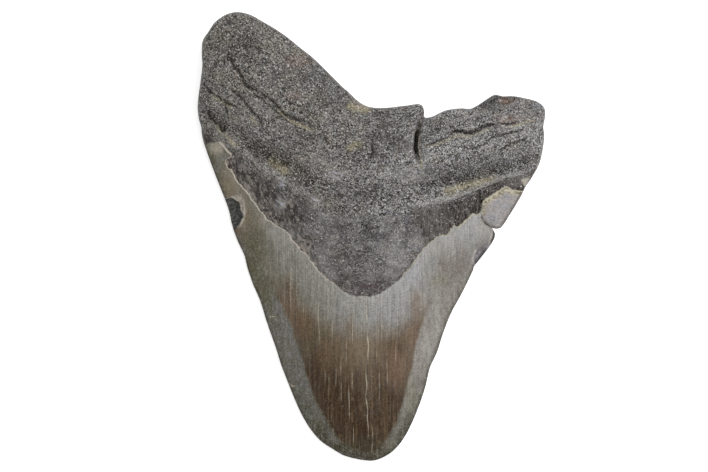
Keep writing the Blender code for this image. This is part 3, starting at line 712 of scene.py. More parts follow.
    def face(self, places, lingual):
        """Heights, masks and the root's flow at places in the plan."""
        gap, _ = distance_to(places, self.outline, closed=True)
        shape = self.lingual_face if lingual else self.labial_face
        height, masks = shape(places, gap, self.rootness(places), self.rim(places))
        masks["edge"] = gap
        masks["core"] = self.core(places)
        masks.update(self.enamel_tones(places, masks["margin"], masks["core"]))
        masks.update(self.root_tones(places, masks["margin"], lingual))
        masks["across"], masks["along"] = self.flow(places)
        return height, masks

    def flow(self, places):
        """The root's fabric runs along its neck: how far off the neck a place is, and how far along."""
        ridge = smooth_line(to_plan(FLOW_LINE, self.centre), 1.5)
        gap, along = distance_to(places, ridge)
        above = places[:, 1] > np.interp(places[:, 0], *ridge.T)
        return np.where(above, gap, -gap), along * FLOW_LENGTH

    def traces(self, places, table):
        """A mask of thin drawn lines; each fades at its ends."""
        mask = np.zeros(len(places))
        for pixels, half_width in table:
            away, along = distance_to(places, self.line(pixels))
            mask = np.maximum(mask, bump(away, 0, half_width) * np.clip(8 * along * (1 - along), 0, 1))
        return mask

    def patch(self, places, pixels):
        """A mask of a small patch with a slightly soft edge."""
        ring = to_plan(pixels, self.centre)
        gap, _ = distance_to(places, ring, closed=True)
        return np.where(inside(places, ring), smooth_step(0, 0.4, gap), 0)

    def stains_and_painted_light(self, places, table):
        """A mask of each tone of a table of stains and painted light."""
        x, y = to_pixels(places, self.centre).T
        masks = {}
        for name, spots in table.items():
            masks[name] = np.zeros(len(places))
            for spot_x, spot_y, across, down, strength in spots:
                away = np.hypot((x - spot_x) / across, (y - spot_y) / down)
                masks[name] = np.maximum(masks[name], strength * np.exp(-(away**3)))
        return masks

    def enamel_tones(self, places, margin, core):
        """Where the enamel is grey, stained or brown, with a painted sheen near its margin: it darkens from
        the neck down to the tip.
        """
        x, y = to_pixels(places, self.centre).T
        left_of_middle = np.maximum(350 - x, 0)
        right_of_middle = np.maximum(x - 376, 0)
        fragment = self.patch(places, FRAGMENT)
        return {
            "right": smooth_step(-70, 60, x - 363),
            # grey and verge: partly the enamel's colour and partly a painted sheen near the margin
            "grey": (1 - smooth_step(3, 14, margin)) * smooth_step(255, 300, x + 0.3 * (y - 230)),
            "verge": smooth_step(4.5, 0.3, margin),
            "fragment": fragment,
            "rim": fragment * smooth_step(2.4, 0.4, margin),
            "brown": smooth_step(5, 15, margin) * smooth_step(262, 320, y - 20 * bump(x, 366, 34)),
            "deep": smooth_step(330, 410, y + 0.65 * left_of_middle - 0.25 * right_of_middle),
            "low": smooth_step(355, 430, y),
            "high": smooth_step(340, 280, y),
            "fibre": smooth_step(252, 278, x) * (0.35 + 0.65 * smooth_step(-1.0, 1.0, core)),
            "tip": smooth_step(6.0, 2.5, np.hypot(x - 369, y - 460) * MM_PER_PIXEL / 1.4),
            # lip: a pale line along the margin, partly the edge's colour and partly a painted highlight on
            # the step's lit edge
            "lip": smooth_step(214, 226, x) * np.maximum(smooth_step(350, 325, x), smooth_step(392, 412, x)),
            **{f"enamel {name}": mask for name, mask in self.stains_and_painted_light(places, ENAMEL_STAINS_AND_SHEEN).items()},
        }

    def root_tones(self, places, margin, lingual):
        """Where the neck's dark striated band lies, and where the root is stained."""
        x, y = to_pixels(places, self.centre).T
        ridge = self.line(LINGUAL_MARKS["left neck ridge"][0] + LINGUAL_MARKS["right neck ridge"][0])
        away, _ = distance_to(places, ridge)
        below = (y > np.interp(x, *to_pixels(ridge, self.centre).T)) & lingual
        left_side = smooth_step(316, 286, x - 0.35 * (y - 215))
        right_side = smooth_step(398, 424, x - 0.5 * (y - 215))
        gone = np.maximum(left_side * smooth_step(0.5, 5.5, away), right_side * smooth_step(0.7, 1.6, away))
        vee = np.where(below, smooth_step(0.5, 4.0, away), 0)
        masks = {
            "neck": np.where(below & (margin < 1), gone, 0),
            "calm": vee,
            "plum": vee * smooth_step(250, 298, y),
            "ruffle": bump(away, 1.0, 3.0) * smooth_step(345, 320, x),
            **{f"root {name}": mask for name, mask in self.stains_and_painted_light(places, ROOT_STAINS_AND_PAINTED_LIGHT).items()},
        }
        if lingual:
            return masks
        return {name: np.zeros(len(places)) for name in masks} | {"neck": 0.5 * bump(margin, -1.5, 1.5)}


def to_pixels(places, centre):
    """The other way round from to_plan."""
    return (places + centre) / (MM_PER_PIXEL, -MM_PER_PIXEL)


def spread_out(places, room):
    """Leaves out each place that comes too near one before it."""
    cells, kept = {}, []
    for x, y in places.tolist():
        column, row = int(x // room), int(y // room)
        near = [p for i in (-1, 0, 1) for j in (-1, 0, 1) for p in cells.get((column + i, row + j), ())]
        if all((x - p[0]) ** 2 + (y - p[1]) ** 2 > room**2 for p in near):
            cells.setdefault((column, row), []).append((x, y))
            kept.append((x, y))
    return np.array(kept)


def mark_rows(tooth, lingual):
    """Rows of places along a face's margin and marks, so that the triangles follow them."""
    rows = [offset(tooth.margins[lingual], side) for side in (-0.3, -0.05, 0.2)]
    if not lingual:
        return rows
    for line, half_width, _ in tooth.root_cracks:
        rows += [offset(line, side * half_width) for side in (0, -1.2, 1.2)]
    drawn = [(tooth.line(points, 0.4), half_width) for points, half_width in PALE_LINES + DARK_LINES]
    for line, half_width in tooth.enamel_cracks + drawn:
        rows += [offset(line, side * half_width) for side in (0, -1.3, 1.3)]
    rows += [offset(tooth.slit, side) for side in (0, -0.14, 0.14, -0.3, 0.3, -0.6, 0.6, 1.2)]
    rows += [tooth.line(corners + corners[:1], MARK_STEP) for corners, _ in CHIPS.values()]
    return rows


def plan_points(tooth, lingual, lattice_step):
    """Places inside the outline: rings along the rim, rows along the marks, and a lattice for the rest."""
    rings = []
    for distance in RIM_RINGS:
        ring = offset(tooth.outline, distance, closed=True)
        gap, _ = distance_to(ring, tooth.outline, closed=True)
        rings.append(ring[inside(ring, tooth.outline) & (gap > 0.85 * distance)])
    rows = np.vstack(mark_rows(tooth, lingual))
    gap, _ = distance_to(rows, tooth.outline, closed=True)
    rows = rows[inside(rows, tooth.outline) & (gap > RIM_RINGS[-1])]
    kept = np.vstack([spread_out(np.vstack(rings), 0.3 * OUTLINE_STEP), spread_out(rows, ROW_ROOM)])

    low, high = tooth.outline.min(0), tooth.outline.max(0)
    row_gap = lattice_step * np.sqrt(0.75)
    columns = np.arange(low[0], high[0], lattice_step)
    rows = range(int((high[1] - low[1]) / row_gap) + 1)
    shift = lattice_step / 2
    lattice = np.vstack([
        np.column_stack([columns + shift * (row % 2), np.full_like(columns, low[1] + row * row_gap)])
        for row in rows
    ])
    gap, _ = distance_to(lattice, tooth.outline, closed=True)
    lattice = lattice[inside(lattice, tooth.outline) & (gap > RIM_RINGS[-1] + 0.4 * lattice_step)]
    tree = kdtree.KDTree(len(kept))
    for number, (x, y) in enumerate(kept):
        tree.insert((x, y, 0), number)
    tree.balance()
    room = LATTICE_ROOM * lattice_step
    free = [tree.find((x, y, 0))[2] > room for x, y in lattice]
    return np.vstack([kept, lattice[free]])


def triangulate(tooth, places):
    """Triangles over the outline and the places inside it, the outline's points first."""
    count = len(tooth.outline)
    points = [Vector(p) for p in np.vstack([tooth.outline, places])]
    edges = [(i, (i + 1) % count) for i in range(count)]
    made = delaunay_2d_cdt(points, edges, [], 1, 1e-7)
    return np.array([tuple(v) for v in made[0]]), np.array(made[2])


def root_relief(p, across, along, ruffle):
    """How deep the root's grit, grain, pores and waves go, and the ruffles of its neck ridge."""
    depth = 0.10 * (0.6 + noise.noise(p / 1.9)) + 0.11 * (0.6 + noise.noise(p / 0.8))
    depth += 0.16 * (0.6 + noise.noise(Vector((across / 1.3, along / 9.0, 5.0))))
    depth += 0.30 * max(0.0, noise.noise(Vector((across / 1.1, along / 12.0, 8.0))) - 0.25)
    depth += 0.35 * max(0.0, noise.noise(p / 2.6 + Vector((9, 3, 1))) - 0.30)
    depth += 0.20 * (0.5 + noise.noise(p / 7.0))
    depth += 0.12 * (0.5 + noise.noise(Vector((across / 0.7, along / 3.0, 2.0))))
    folds = noise.noise(Vector((p.x / 0.9, (p.y + 0.6 * p.x) / 3.2, 6.0)))
    return depth + ruffle * (0.25 + 0.75 * folds + 0.35 * noise.noise(p / 3.0))


def enamel_relief(p, edge):
    """How deep the enamel's ripples and slow waves go, and the nicks of the cutting edge."""
    ripple = noise.noise(Vector((p.x / 0.9, p.y / 14.0, 2.0)))
    depth = 0.018 * (1 + ripple) + 0.06 * (0.6 + noise.noise(p / 6.5))
    nick = max(0.0, 0.35 + noise.noise(p / 1.5)) + 1.6 * max(0.0, noise.noise(p / 4.0) - 0.22)
    return depth + 0.35 * nick * np.exp(-((edge / 0.7) ** 2))


def carve(points, normals, masks):
    """Wears the surface inwards a little, and less at the rim."""
    moved = points.copy()
    bare = (masks["margin"] < 0) | (masks["broken"] > 0.5)
    near_rim = 0.1 + 0.9 * smooth_step(0, 1.2, masks["edge"])
    for i, (point, normal) in enumerate(zip(points, normals)):
        p = Vector(point)
        if bare[i]:
            depth = root_relief(p, masks["across"][i], masks["along"][i], masks["ruffle"][i])
        else:
            depth = enamel_relief(p, masks["edge"][i])
        moved[i] -= normal * max(depth, 0.0) * near_rim[i]
    return moved


def build_tooth():
    """The fine mesh, its masks as attributes, and a map of both faces side by side for baking."""
    tooth = Tooth()
    rim = tooth.rim(tooth.outline)
    count = len(tooth.outline)
    parts, triangles, masks, uppers = [np.column_stack([tooth.outline, rim])], [], {}, []
    total = count
    for lingual, lattice_step in ((True, LINGUAL_LATTICE), (False, LABIAL_LATTICE)):
        places, corners = triangulate(tooth, plan_points(tooth, lingual, lattice_step))
        height, values = tooth.face(places, lingual)
        parts.append(np.column_stack([places, height])[count:])
        for name, value in values.items():
            masks.setdefault(name, []).append(value if lingual else value[count:])
        numbers = np.concatenate([np.arange(count), total + np.arange(len(places) - count)])
        corners = numbers[corners]
        triangles.append(corners if lingual else corners[:, ::-1])
        uppers.append(np.full(len(corners), lingual))
        total += len(places) - count
    points, triangles, uppers = np.vstack(parts), np.vstack(triangles), np.concatenate(uppers)
    masks = {name: np.concatenate(values) for name, values in masks.items()}

    scale = (cad_box[1].x - cad_box[0].x) / METRES / np.ptp(tooth.outline[:, 0])
    points = carve(points, vertex_normals(points, triangles), masks)
    points[:, 2] = np.maximum(points[:, 2], 0)
    data = bpy.data.meshes.new("tooth")
    data.from_pydata((points * scale * METRES).tolist(), [], triangles.tolist())
    for name, values in masks.items():
        data.attributes.new(name, "FLOAT", "POINT").data.foreach_set("value", values.astype(np.float32))
    width = np.ptp(tooth.outline[:, 0])
    spots = points[triangles.ravel(), :2] / width * BAKE_WIDTH + BAKE_MIDDLE
    spots[:, 0] += np.where(np.repeat(uppers, 3), 0, BAKE_STEP)
    data.uv_layers.new(name="OFBake").data.foreach_set("uv", spots.ravel().astype(np.float32))
    data.shade_smooth()
    piece = bpy.data.objects.new("fossil_tooth", data)
    bpy.context.scene.collection.objects.link(piece)
    return piece


def vertex_normals(points, triangles):
    a, b, c = (points[triangles[:, k]] for k in range(3))
    faces = np.cross(b - a, c - a)
    normals = np.zeros_like(points)
    for k in range(3):
        np.add.at(normals, triangles[:, k], faces)
    return normals / np.maximum(np.linalg.norm(normals, axis=1), 1e-12)[:, None]


def colour(red, green, blue):
    """The paint for a colour that should be seen on screen, 0 to 255, under the scene's light."""
    seen = np.array([red, green, blue]) / 255
    linear = np.where(seen <= 0.04045, seen / 12.92, ((seen + 0.055) / 1.055) ** 2.4)
    paint = np.clip((linear - GLOSS_VEIL) / LIGHT_LEVEL, DARKEST_PAINT, 1)
    return (*paint.tolist(), 1.0)


class Paint:
    """A material's nodes, made by short calls that take and give sockets."""

    def __init__(self, name):
        self.material = bpy.data.materials.new(name)
        self.material.use_nodes = True
        self.tree = self.material.node_tree
        self.shader = self.tree.nodes["Principled BSDF"]
        place = self.tree.nodes.new("ShaderNodeTexCoord").outputs["Object"]
        self.place = self.vector("SCALE", place, scale=1 / METRES)
        combine = self.tree.nodes.new("ShaderNodeCombineXYZ")
        for axis, mask_name in enumerate(("across", "along")):
            self.feed(combine.inputs[axis], self.mask(mask_name))
        self.flow = combine.outputs[0]
        self.right = self.mask("right")

    def feed(self, socket, value):
        if isinstance(value, bpy.types.NodeSocket):
            self.tree.links.new(value, socket)
        else:
            socket.default_value = value

    def vector(self, operation, a, b=None, scale=None):
        node = self.tree.nodes.new("ShaderNodeVectorMath")
        node.operation = operation
        self.feed(node.inputs[0], a)
        if b is not None:
            self.feed(node.inputs[1], b)
        if scale is not None:
            node.inputs["Scale"].default_value = scale
        return node.outputs[0]

    def mask(self, name):
        node = self.tree.nodes.new("ShaderNodeAttribute")
        node.attribute_name = name
        return node.outputs["Fac"]

    def noise(self, size, detail=2.0, roughness=0.5, stretch=(1, 1, 1), twist=0.0, place=None):
        """Cloudy noise with blobs about size millimetres across, longer along an axis by its stretch."""
        node = self.tree.nodes.new("ShaderNodeTexNoise")
        shrink = tuple(1 / (size * factor) for factor in stretch)
        self.feed(node.inputs["Vector"], self.vector("MULTIPLY", place or self.place, shrink))
        node.inputs["Scale"].default_value = 1.0
        node.inputs["Detail"].default_value = detail
        node.inputs["Roughness"].default_value = roughness
        node.inputs["Distortion"].default_value = twist
        return node.outputs["Fac"]

    def turned(self, degrees):
        """The place in the tooth, turned about the upright axis."""
        node = self.tree.nodes.new("ShaderNodeVectorRotate")
        node.rotation_type = "Z_AXIS"
        self.feed(node.inputs["Vector"], self.place)
        node.inputs["Angle"].default_value = np.radians(degrees)
        return node.outputs["Vector"]

    def maths(self, operation, a, b, clamp=False):
        node = self.tree.nodes.new("ShaderNodeMath")
        node.operation = operation
        node.use_clamp = clamp
        self.feed(node.inputs[0], a)
        self.feed(node.inputs[1], b)
        return node.outputs[0]

    def plus(self, a, b, clamp=False):
        return self.maths("ADD", a, b, clamp)

    def less(self, a, b):
        return self.maths("SUBTRACT", a, b)

    def times(self, a, b):
        return self.maths("MULTIPLY", a, b)

    def centred(self, value, reach):
        """A noise less its mean of a half, times reach."""
        return self.times(self.less(value, 0.5), reach)

    def ramp(self, value, low, high, start=0.0, stop=1.0):
        """start below low, stop above high, and a smooth step between them."""
        node = self.tree.nodes.new("ShaderNodeMapRange")
        node.interpolation_type = "SMOOTHSTEP"
        self.feed(node.inputs["Value"], value)
        bounds = ("From Min", low), ("From Max", high), ("To Min", start), ("To Max", stop)
        for name, bound in bounds:
            node.inputs[name].default_value = bound
        return node.outputs["Result"]

    def mix(self, share, a, b):
        """From colour a to colour b, each a socket or (red, green, blue) as seen on screen."""
        node = self.tree.nodes.new("ShaderNodeMix")
        node.data_type = "RGBA"
        self.feed(node.inputs[0], share)
        for number, tone in ((6, a), (7, b)):
            self.feed(node.inputs[number], colour(*tone) if isinstance(tone, tuple) else tone)
        return node.outputs[2]

    def blend(self, share, a, b):
        node = self.tree.nodes.new("ShaderNodeMix")
        self.feed(node.inputs[0], share)
        self.feed(node.inputs[2], a)
        self.feed(node.inputs[3], b)
        return node.outputs[0]

    def sides(self, left, right):
        """One colour on the tooth's left that turns into another on its right."""
        return self.mix(self.right, left, right)

    def layers(self, body, rows):
        """Lays each row's tone over the body by a ramp of its value, within a mask if it names one."""
        for value, low, high, start, stop, tone, *within in rows:
            share = self.ramp(value, low, high, start, stop)
            if within:
                share = self.times(self.mask(within[0]), share)
            body = self.mix(share, body, tone)
        return body


def paint_root(paint):
    """The gritty root: grey grains, warm and cool stains, painted shade in hollows, painted highlights and
    glints. Gives colour and height.
    """
    grain = paint.noise(0.46, 1.0, 0.7, twist=1.0)
    salt = paint.noise(0.42, 1.0, 0.7, twist=0.6)
    clump = paint.noise(1.1, 2.0, 0.6)
    patch = paint.noise(2.6, 3.0, 0.65)
    fabric = paint.noise(0.6, 3.0, 0.65, (1, 5, 1), place=paint.flow)
    stain = paint.noise(6.0, 4.0, 0.6)
    tint = paint.noise(1.8, 3.0, 0.7)
    folds = paint.noise(3.4, 2.0, 0.6, (1.7, 1, 1), twist=0.6)

    salty = paint.sides((172, 167, 159), (190, 189, 188))
    body = paint.mix(paint.ramp(grain, 0.44, 0.59), (20, 18, 17), salty)
    body = paint.layers(body, [
        (clump, 0.5, 0.34, 0.0, 0.5, (48, 46, 44)),
        (clump, 0.54, 0.7, 0.0, 0.35, (150, 148, 145)),
        (fabric, 0.5, 0.34, 0.0, 0.6, (50, 48, 46)),
        (fabric, 0.54, 0.68, 0.0, 0.45, (158, 155, 151)),
        (patch, 0.5, 0.36, 0.0, 0.45, (66, 64, 64)),
        (patch, 0.52, 0.68, 0.0, 0.35, (150, 145, 136)),
        (stain, 0.5, 0.72, 0.0, 0.28, (130, 120, 102)),
        (stain, 0.48, 0.3, 0.0, 0.3, (108, 103, 108)),
        (tint, 0.54, 0.66, 0.0, 0.32, (128, 113, 98)),
        (tint, 0.46, 0.34, 0.0, 0.36, paint.sides((92, 99, 99), (104, 102, 114))),
        (clump, 0.36, 0.6, 0.42, 0.2, (106, 104, 107), "calm"),
        (folds, 0.5, 0.34, 0.0, 0.5, (62, 59, 58), "calm"),
        (folds, 0.52, 0.68, 0.0, 0.5, (142, 140, 142), "calm"),
        (tint, 0.3, 0.6, 0.75, 0.25, (80, 66, 62), "plum"),
    ])
    ragged = paint.plus(paint.mask("neck"), paint.centred(patch, 1.9))
    in_neck = paint.times(paint.ramp(ragged, 0.2, 0.8), paint.ramp(paint.mask("neck"), 0.02, 0.3))
    body = paint.mix(in_neck, body, paint_neck(paint, body))

    # Red and slate stains, and the bright and shade patches, which are painted light and painted shade
    stains_and_painted_light = (
        ("bright", 0.38, (176, 174, 170)), ("shade", 0.64, (52, 48, 48)), ("slate", 0.5, (92, 98, 106)),
        ("red", 0.6, (152, 118, 100)),
    )
    body = paint.layers(body, [
        (tint, 0.36, 0.62, 0.4 * strength, strength, tone, f"root {name}") for name, strength, tone in stains_and_painted_light
    ])
    # Painted glints: bright specks that stand for highlights on the grit, more where it sparkles, fewer in
    # the V
    glint = paint.plus(salt, paint.times(paint.mask("root sparkle"), 0.04))
    glint = paint.less(glint, paint.times(paint.mask("calm"), 0.05))
    body = paint.layers(body, [
        # ridges and lumps lighter: partly wear and partly a painted highlight
        (grain, 0.4, 0.6, 0.15, 0.8, (176, 174, 169), "worn_and_lit"),
        (salt, 0.40, 0.58, 0.15, 0.9, (168, 158, 126), "tan"),
        # painted shade: the hollows darker the deeper they are cut
        (grain, 0.66, 0.38, 0.1, 0.85, (36, 34, 32), "hollow_shade"),
        (fabric, 0.46, 0.58, 0.0, 0.9, (184, 186, 194), "root fleck"),
        (glint, 0.61, 0.69, 0.0, 0.9, (216, 214, 212)),
        # painted light: the root's rim a little lighter along its edge
        (paint.mask("edge"), 0.5, 0.1, 0.0, 0.3, (150, 152, 154)),
    ])
    height = paint.blend(0.4, paint.times(grain, 0.5), paint.times(salt, 0.6))
    return body, paint.plus(height, paint.times(fabric, 0.35))


def paint_neck(paint, root):
    """The dark band between root and enamel: short streaks down to the margin, rougher on its left side."""
    streaks = paint.noise(0.34, 2.0, 0.6, (1, 6, 6))
    blotch = paint.noise(2.0, 3.0, 0.65)
    grain = paint.noise(0.42, 2.0, 0.7, (1, 1.6, 1.6))
    body = paint.mix(paint.ramp(streaks, 0.38, 0.62), (44, 41, 39), (100, 93, 89))
    body = paint.layers(body, [
        (blotch, 0.52, 0.7, 0.0, 0.5, (112, 108, 108)),
        (blotch, 0.48, 0.32, 0.0, 0.6, (44, 38, 36)),
        (blotch, 0.54, 0.64, 0.0, 0.6, (172, 173, 178), "ruffle"),
        (grain, 0.56, 0.70, 0.0, 0.6, (158, 152, 148)),
    ])
    wrinkles = paint.noise(0.95, 4.0, 0.75, (1, 2.4, 2.4), place=paint.turned(-16))
    rough = paint.mix(paint.ramp(wrinkles, 0.45, 0.57), (34, 28, 25), (164, 154, 146))
    rough = paint.layers(rough, [(blotch, 0.54, 0.40, 0.0, 0.65, (44, 38, 35))])
    rough = paint.mix(0.2, rough, root)
    return paint.mix(paint.ramp(paint.right, 0.02, 0.5, 0.8, 0.0), body, rough)


def paint_enamel(paint):
    """The enamel: grey at the neck, partly a painted sheen, mahogany further down, with fine streaks and
    hairlines down it.
    """
    cloud = paint.noise(4.0, 4.0, 0.65, (0.8, 1.8, 1.8), twist=0.5)
    mottle = paint.noise(1.3, 3.0, 0.65, (0.8, 1.5, 1.5))
    grit = paint.noise(0.42, 2.0, 0.7)
    streaks = paint.noise(0.75, 3.0, 0.65, (1, 14, 14))
    hair = paint.noise(0.3, 1.0, 0.6, (1, 40, 40))
    thread = paint.noise(0.28, 0.0, stretch=(1, 60, 60))
    fingers = paint.noise(0.6, 3.0, 0.65, (1, 12, 12))
    speck = paint.noise(0.4, 1.0, 0.6)
    uneven = paint.centred(fingers, 0.8)
    blotched = paint.plus(uneven, paint.centred(cloud, 1.0))
    rough_core = paint.plus(paint.mask("core"), paint.times(uneven, 0.4))
    in_core = paint.ramp(rough_core, -0.5, 0.7)

    def spread(name):
        return paint.plus(paint.mask(name), blotched, clamp=True)

    def stain_and_sheen(body, rows):
        for name, tone, *within in rows:
            share = paint.times(paint.mask(f"enamel {name}"), within[0] if within else 1.0)
            rough = paint.times(blotched, paint.ramp(share, 0.02, 0.3))
            body = paint.mix(paint.plus(share, rough, clamp=True), body, tone)
        return body

    # The right side is painted lighter than the left here and in the tones below: partly the enamel's colour
    # and partly painted light from the right
    body = paint.layers(paint.sides((106, 100, 84), (138, 132, 127)), [
        (cloud, 0.5, 0.32, 0.0, 0.6, paint.sides((86, 86, 70), (124, 117, 110))),
        (cloud, 0.54, 0.7, 0.0, 0.6, paint.sides((120, 108, 90), (150, 147, 145))),
    ])
    brown = paint.times(spread("brown"), in_core)
    body = paint.mix(brown, body, (107, 93, 76))
    body = paint.mix(paint.times(spread("deep"), brown), body, (62, 49, 34))
    body = paint_bevel(paint, body, rough_core, mottle)
    # The grey near the margin: partly the enamel's colour and partly a painted sheen
    body = paint.mix(spread("grey"), body, paint.sides((132, 131, 124), (150, 149, 147)))
    body = stain_and_sheen(body, [
        ("straw", (132, 120, 102), in_core),
        ("umber", (60, 45, 30), in_core),
        ("rust", paint.sides((104, 84, 66), (122, 98, 82)), in_core),
        ("dusk", (122, 114, 110)),
        ("olive", paint.sides((90, 86, 67), (126, 122, 108))),
        ("moss", (62, 58, 44)),
        # slate: partly the enamel's colour and partly a painted sheen
        ("slate", paint.sides((141, 141, 138), (150, 150, 153))),
        ("amber", (124, 112, 93)),
    ])
    # A paler band along the margin: partly the enamel's colour and partly a painted sheen
    verge = paint.times(paint.mask("verge"), paint.ramp(fingers, 0.34, 0.6, 0.4, 1.0))
    verge = paint.times(verge, paint.ramp(paint.mask("fibre"), 0.0, 0.4, 0.3, 1.0))
    body = paint.mix(verge, body, paint.sides((150, 147, 140), (172, 171, 170)))
    # frost and pale: partly the enamel's colour and partly a painted sheen
    body = stain_and_sheen(body, [
        ("frost", paint.sides((150, 147, 142), (168, 168, 171))),
        ("ochre", (114, 92, 72)),
        ("pale", paint.sides((168, 160, 144), (168, 165, 160))),
    ])
    body = paint_fragment(paint, body)
    body = paint.mix(paint.mask("tip"), body, (64, 59, 46))

    lit = paint.mix(brown, (188, 184, 174), (134, 112, 86))
    dim = paint.mix(brown, (64, 60, 50), (40, 29, 18))
    broken = paint.ramp(mottle, 0.4, 0.58, 0.35, 1.0)
    body = paint.layers(body, [
        # painted shade: a darker line along the crown's rim where its edge turns away
        (paint.mask("edge"), 1.2, 0.1, 0.0, 0.7, (64, 61, 53)),
        (streaks, 0.5, 0.68, 0.0, 0.18, lit, "fibre"),
        (streaks, 0.5, 0.32, 0.0, 0.22, dim, "fibre"),
        (hair, 0.52, 0.68, 0.0, 0.24, lit, "fibre"),
        (hair, 0.5, 0.32, 0.0, 0.18, dim, "fibre"),
        (paint.times(thread, broken), 0.58, 0.76, 0.0, 0.32, lit, "fibre"),
        (grit, 0.5, 0.36, 0.0, 0.34, dim),
        (grit, 0.51, 0.66, 0.0, 0.22, lit),
        (mottle, 0.5, 0.34, 0.0, 0.2, dim),
        (mottle, 0.54, 0.68, 0.0, 0.12, lit),
        (speck, 0.74, 0.80, 0.0, 0.6, (190, 184, 168)),
    ])
    body = paint.mix(paint.times(paint.mask("crack"), broken), body, (194, 184, 164))
    return body, paint.times(streaks, 0.04)


def paint_bevel(paint, body, rough_core, mottle):
    """The greyer bevel round the crown, lighter on its right partly by painted light, with a paler seam along
    its inner edge.
    """
    # The bevel's right side painted lighter than its left: partly its colour and partly painted light from
    # the right
    band = paint.sides((99, 97, 88), (142, 136, 129))
    band = paint.mix(paint.mask("high"), band, paint.sides((92, 88, 70), (131, 124, 119)))
    band = paint.layers(band, [(mottle, 0.44, 0.62, 0.0, 0.6, paint.sides((98, 100, 106), (150, 146, 142)))])
    band = paint.mix(paint.mask("low"), band, paint.sides((70, 72, 60), (78, 76, 64)))
    off_core = paint.times(paint.ramp(rough_core, 0.5, -0.5), paint.ramp(paint.mask("edge"), 9.0, 6.5))
    body = paint.mix(paint.times(off_core, 0.9), body, band)
    seam = paint.times(paint.ramp(rough_core, -2.4, -1.1), paint.ramp(rough_core, -0.1, -0.9))
    seam = paint.times(seam, paint.blend(paint.right, 0.4, 0.3))
    return paint.mix(seam, body, paint.sides((118, 112, 113), (148, 143, 137)))


def paint_fragment(paint, body):
    """The loose fragment: bluish enamel with a creamy ruffled rim, its ruffles square to the rim."""
    turned = paint.turned(45)
    ruffle = paint.noise(0.9, 2.0, 0.6, (3.5, 1, 1), place=turned)
    striae = paint.noise(0.4, 2.0, 0.6, (10, 1, 1), place=turned)
    cloud = paint.noise(3.0, 2.0, 0.6)
    rim = paint.mix(paint.ramp(ruffle, 0.4, 0.6), (132, 122, 98), (200, 192, 172))
    inner = paint.mix(paint.ramp(cloud, 0.4, 0.6), (160, 159, 164), (168, 162, 161))
    inner = paint.layers(inner, [
        (striae, 0.5, 0.34, 0.0, 0.3, (120, 116, 112)),
        (striae, 0.5, 0.66, 0.0, 0.3, (196, 194, 190)),
        (paint.mask("rim"), 0.1, 0.8, 0.0, 0.95, rim),
    ])
    return paint.mix(paint.mask("fragment"), body, inner)


def tooth_material():
    """The root and the enamel, with the lip, the chips, the broken edges and the cracks laid over both."""
    paint = Paint("fossil_tooth")
    margin = paint.plus(paint.mask("margin"), paint.centred(paint.noise(0.5), 0.3))
    on_crown = paint.ramp(margin, -0.08, 0.08)
    root, root_height = paint_root(paint)
    enamel, enamel_height = paint_enamel(paint)
    root = paint.mix(paint.times(paint.mask("wall"), 0.4), root, (84, 72, 62))
    # painted shade: the deep core of the slit painted near black
    root = paint.mix(paint.mask("slit"), root, (18, 15, 14))

    # The pale lip along the margin: partly the edge's colour and partly a painted highlight on the step's lit
    # edge
    lip = paint.times(paint.ramp(margin, -0.12, 0.02), paint.ramp(margin, 0.36, 0.14))
    lip = paint.times(lip, paint.mask("lip"))
    grain = paint.ramp(paint.noise(0.8, 3.0, 0.75), 0.38, 0.64)
    crust_dark = paint.sides((136, 128, 116), (106, 101, 104))
    crust = paint.mix(grain, crust_dark, paint.sides((196, 189, 180), (150, 146, 149)))
    torn = paint.centred(paint.noise(1.1, 3.0, 0.7), 0.8)
    broken = paint.times(paint.ramp(paint.mask("broken"), 0.02, 0.3), on_crown)
    chip = paint.times(paint.ramp(paint.plus(paint.mask("chip"), torn), 0.1, 0.4), on_crown)
    open_crack = paint.ramp(paint.noise(1.0, 2.0, 0.6), 0.36, 0.56, 0.5, 1.0)
    body = paint.mix(on_crown, root, enamel)
    for share, tone in (
        (paint.times(lip, 0.92), paint.sides((214, 204, 192), (200, 193, 172))),
        (paint.times(broken, 0.85), crust),
        (chip, paint.mix(grain, (54, 55, 55), (100, 99, 95))),
        (paint.times(paint.mask("pale edge"), 0.65), (200, 194, 184)),
        (paint.times(paint.mask("dark edge"), 0.85), (50, 44, 44)),
        (paint.mask("corner"), (188, 181, 170)),
        (paint.times(paint.mask("fissure"), open_crack), (44, 38, 31)),
    ):
        body = paint.mix(share, body, tone)

    glossy = paint.times(on_crown, paint.less(1.0, chip))
    paint.feed(paint.shader.inputs["Base Color"], body)
    paint.feed(paint.shader.inputs["Roughness"], paint.blend(glossy, 0.82, 0.38))
    paint.shader.inputs["Specular IOR Level"].default_value = 0.16
    bump_node = paint.tree.nodes.new("ShaderNodeBump")
    bump_node.inputs["Strength"].default_value = 0.9
    bump_node.inputs["Distance"].default_value = METRES
    paint.feed(bump_node.inputs["Height"], paint.blend(glossy, root_height, enamel_height))
    paint.feed(paint.shader.inputs["Normal"], bump_node.outputs["Normal"])
    return paint.material


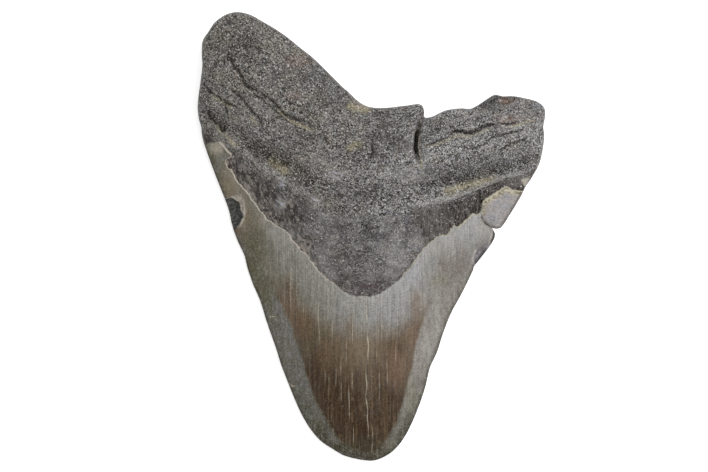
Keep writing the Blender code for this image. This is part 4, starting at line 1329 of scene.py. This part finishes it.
def add_floor():
    """A pale floor much larger than the tooth."""
    data = bpy.data.meshes.new("floor")
    places = [(FLOOR_HALF * x, FLOOR_HALF * y, 0) for x, y in ((-1, -1), (1, -1), (1, 1), (-1, 1))]
    data.from_pydata(places, [], [(0, 1, 2, 3)])
    material = bpy.data.materials.new("floor")
    material.use_nodes = True
    shader = material.node_tree.nodes["Principled BSDF"]
    shader.inputs["Base Color"].default_value = (FLOOR_TONE, FLOOR_TONE, FLOOR_TONE, 1)
    shader.inputs["Roughness"].default_value = 0.9
    shader.inputs["Emission Color"].default_value = (1, 1, 1, 1)
    shader.inputs["Emission Strength"].default_value = FLOOR_GLOW
    data.materials.append(material)
    floor = bpy.data.objects.new("floor", data)
    bpy.context.scene.collection.objects.link(floor)


def add_area_light(name, place, size, power):
    """A square light that shines at the tooth."""
    data = bpy.data.lights.new(name, "AREA")
    data.size = size
    data.energy = power
    light = bpy.data.objects.new(name, data)
    light.location = place
    light.rotation_euler = (-Vector(place)).to_track_quat("-Z", "Y").to_euler()
    bpy.context.scene.collection.objects.link(light)


def add_lights():
    """An even white surround and one large soft light from the upper right."""
    world = bpy.data.worlds.new("surround")
    world.use_nodes = True
    world.node_tree.nodes["Background"].inputs["Color"].default_value = (1, 1, 1, 1)
    world.node_tree.nodes["Background"].inputs["Strength"].default_value = SURROUND_STRENGTH
    bpy.context.scene.world = world
    add_area_light("key", KEY_PLACE, KEY_SIZE, KEY_POWER)


def add_camera(tooth_centre_pixel):
    """Straight above, as far off as the photograph's framing needs with a long lens."""
    data = bpy.data.cameras.new("camera")
    data.lens, data.sensor_width = LENS, SENSOR
    data.clip_end = 10.0
    camera = bpy.data.objects.new("camera", data)
    view_width = VIEW_SHARE * PHOTO_SIZE[0] * MM_PER_PIXEL * METRES
    middle = (np.array(PHOTO_SIZE) / 2 - tooth_centre_pixel) * (MM_PER_PIXEL, -MM_PER_PIXEL) * METRES
    camera.location = (*middle, VIEW_LEVEL + view_width / SENSOR * LENS)
    bpy.context.scene.collection.objects.link(camera)
    bpy.context.scene.camera = camera


def main():
    noise.seed_set(NOISE_SEED)
    piece = build_tooth()
    piece.data.materials.append(tooth_material())
    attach(piece, "root")
    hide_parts("tooth")
    add_floor()
    add_lights()
    outline = np.array(OUTLINE)
    add_camera((outline.min(0) + outline.max(0)) / 2)
    bpy.context.scene.view_settings.view_transform = "Standard"


main()
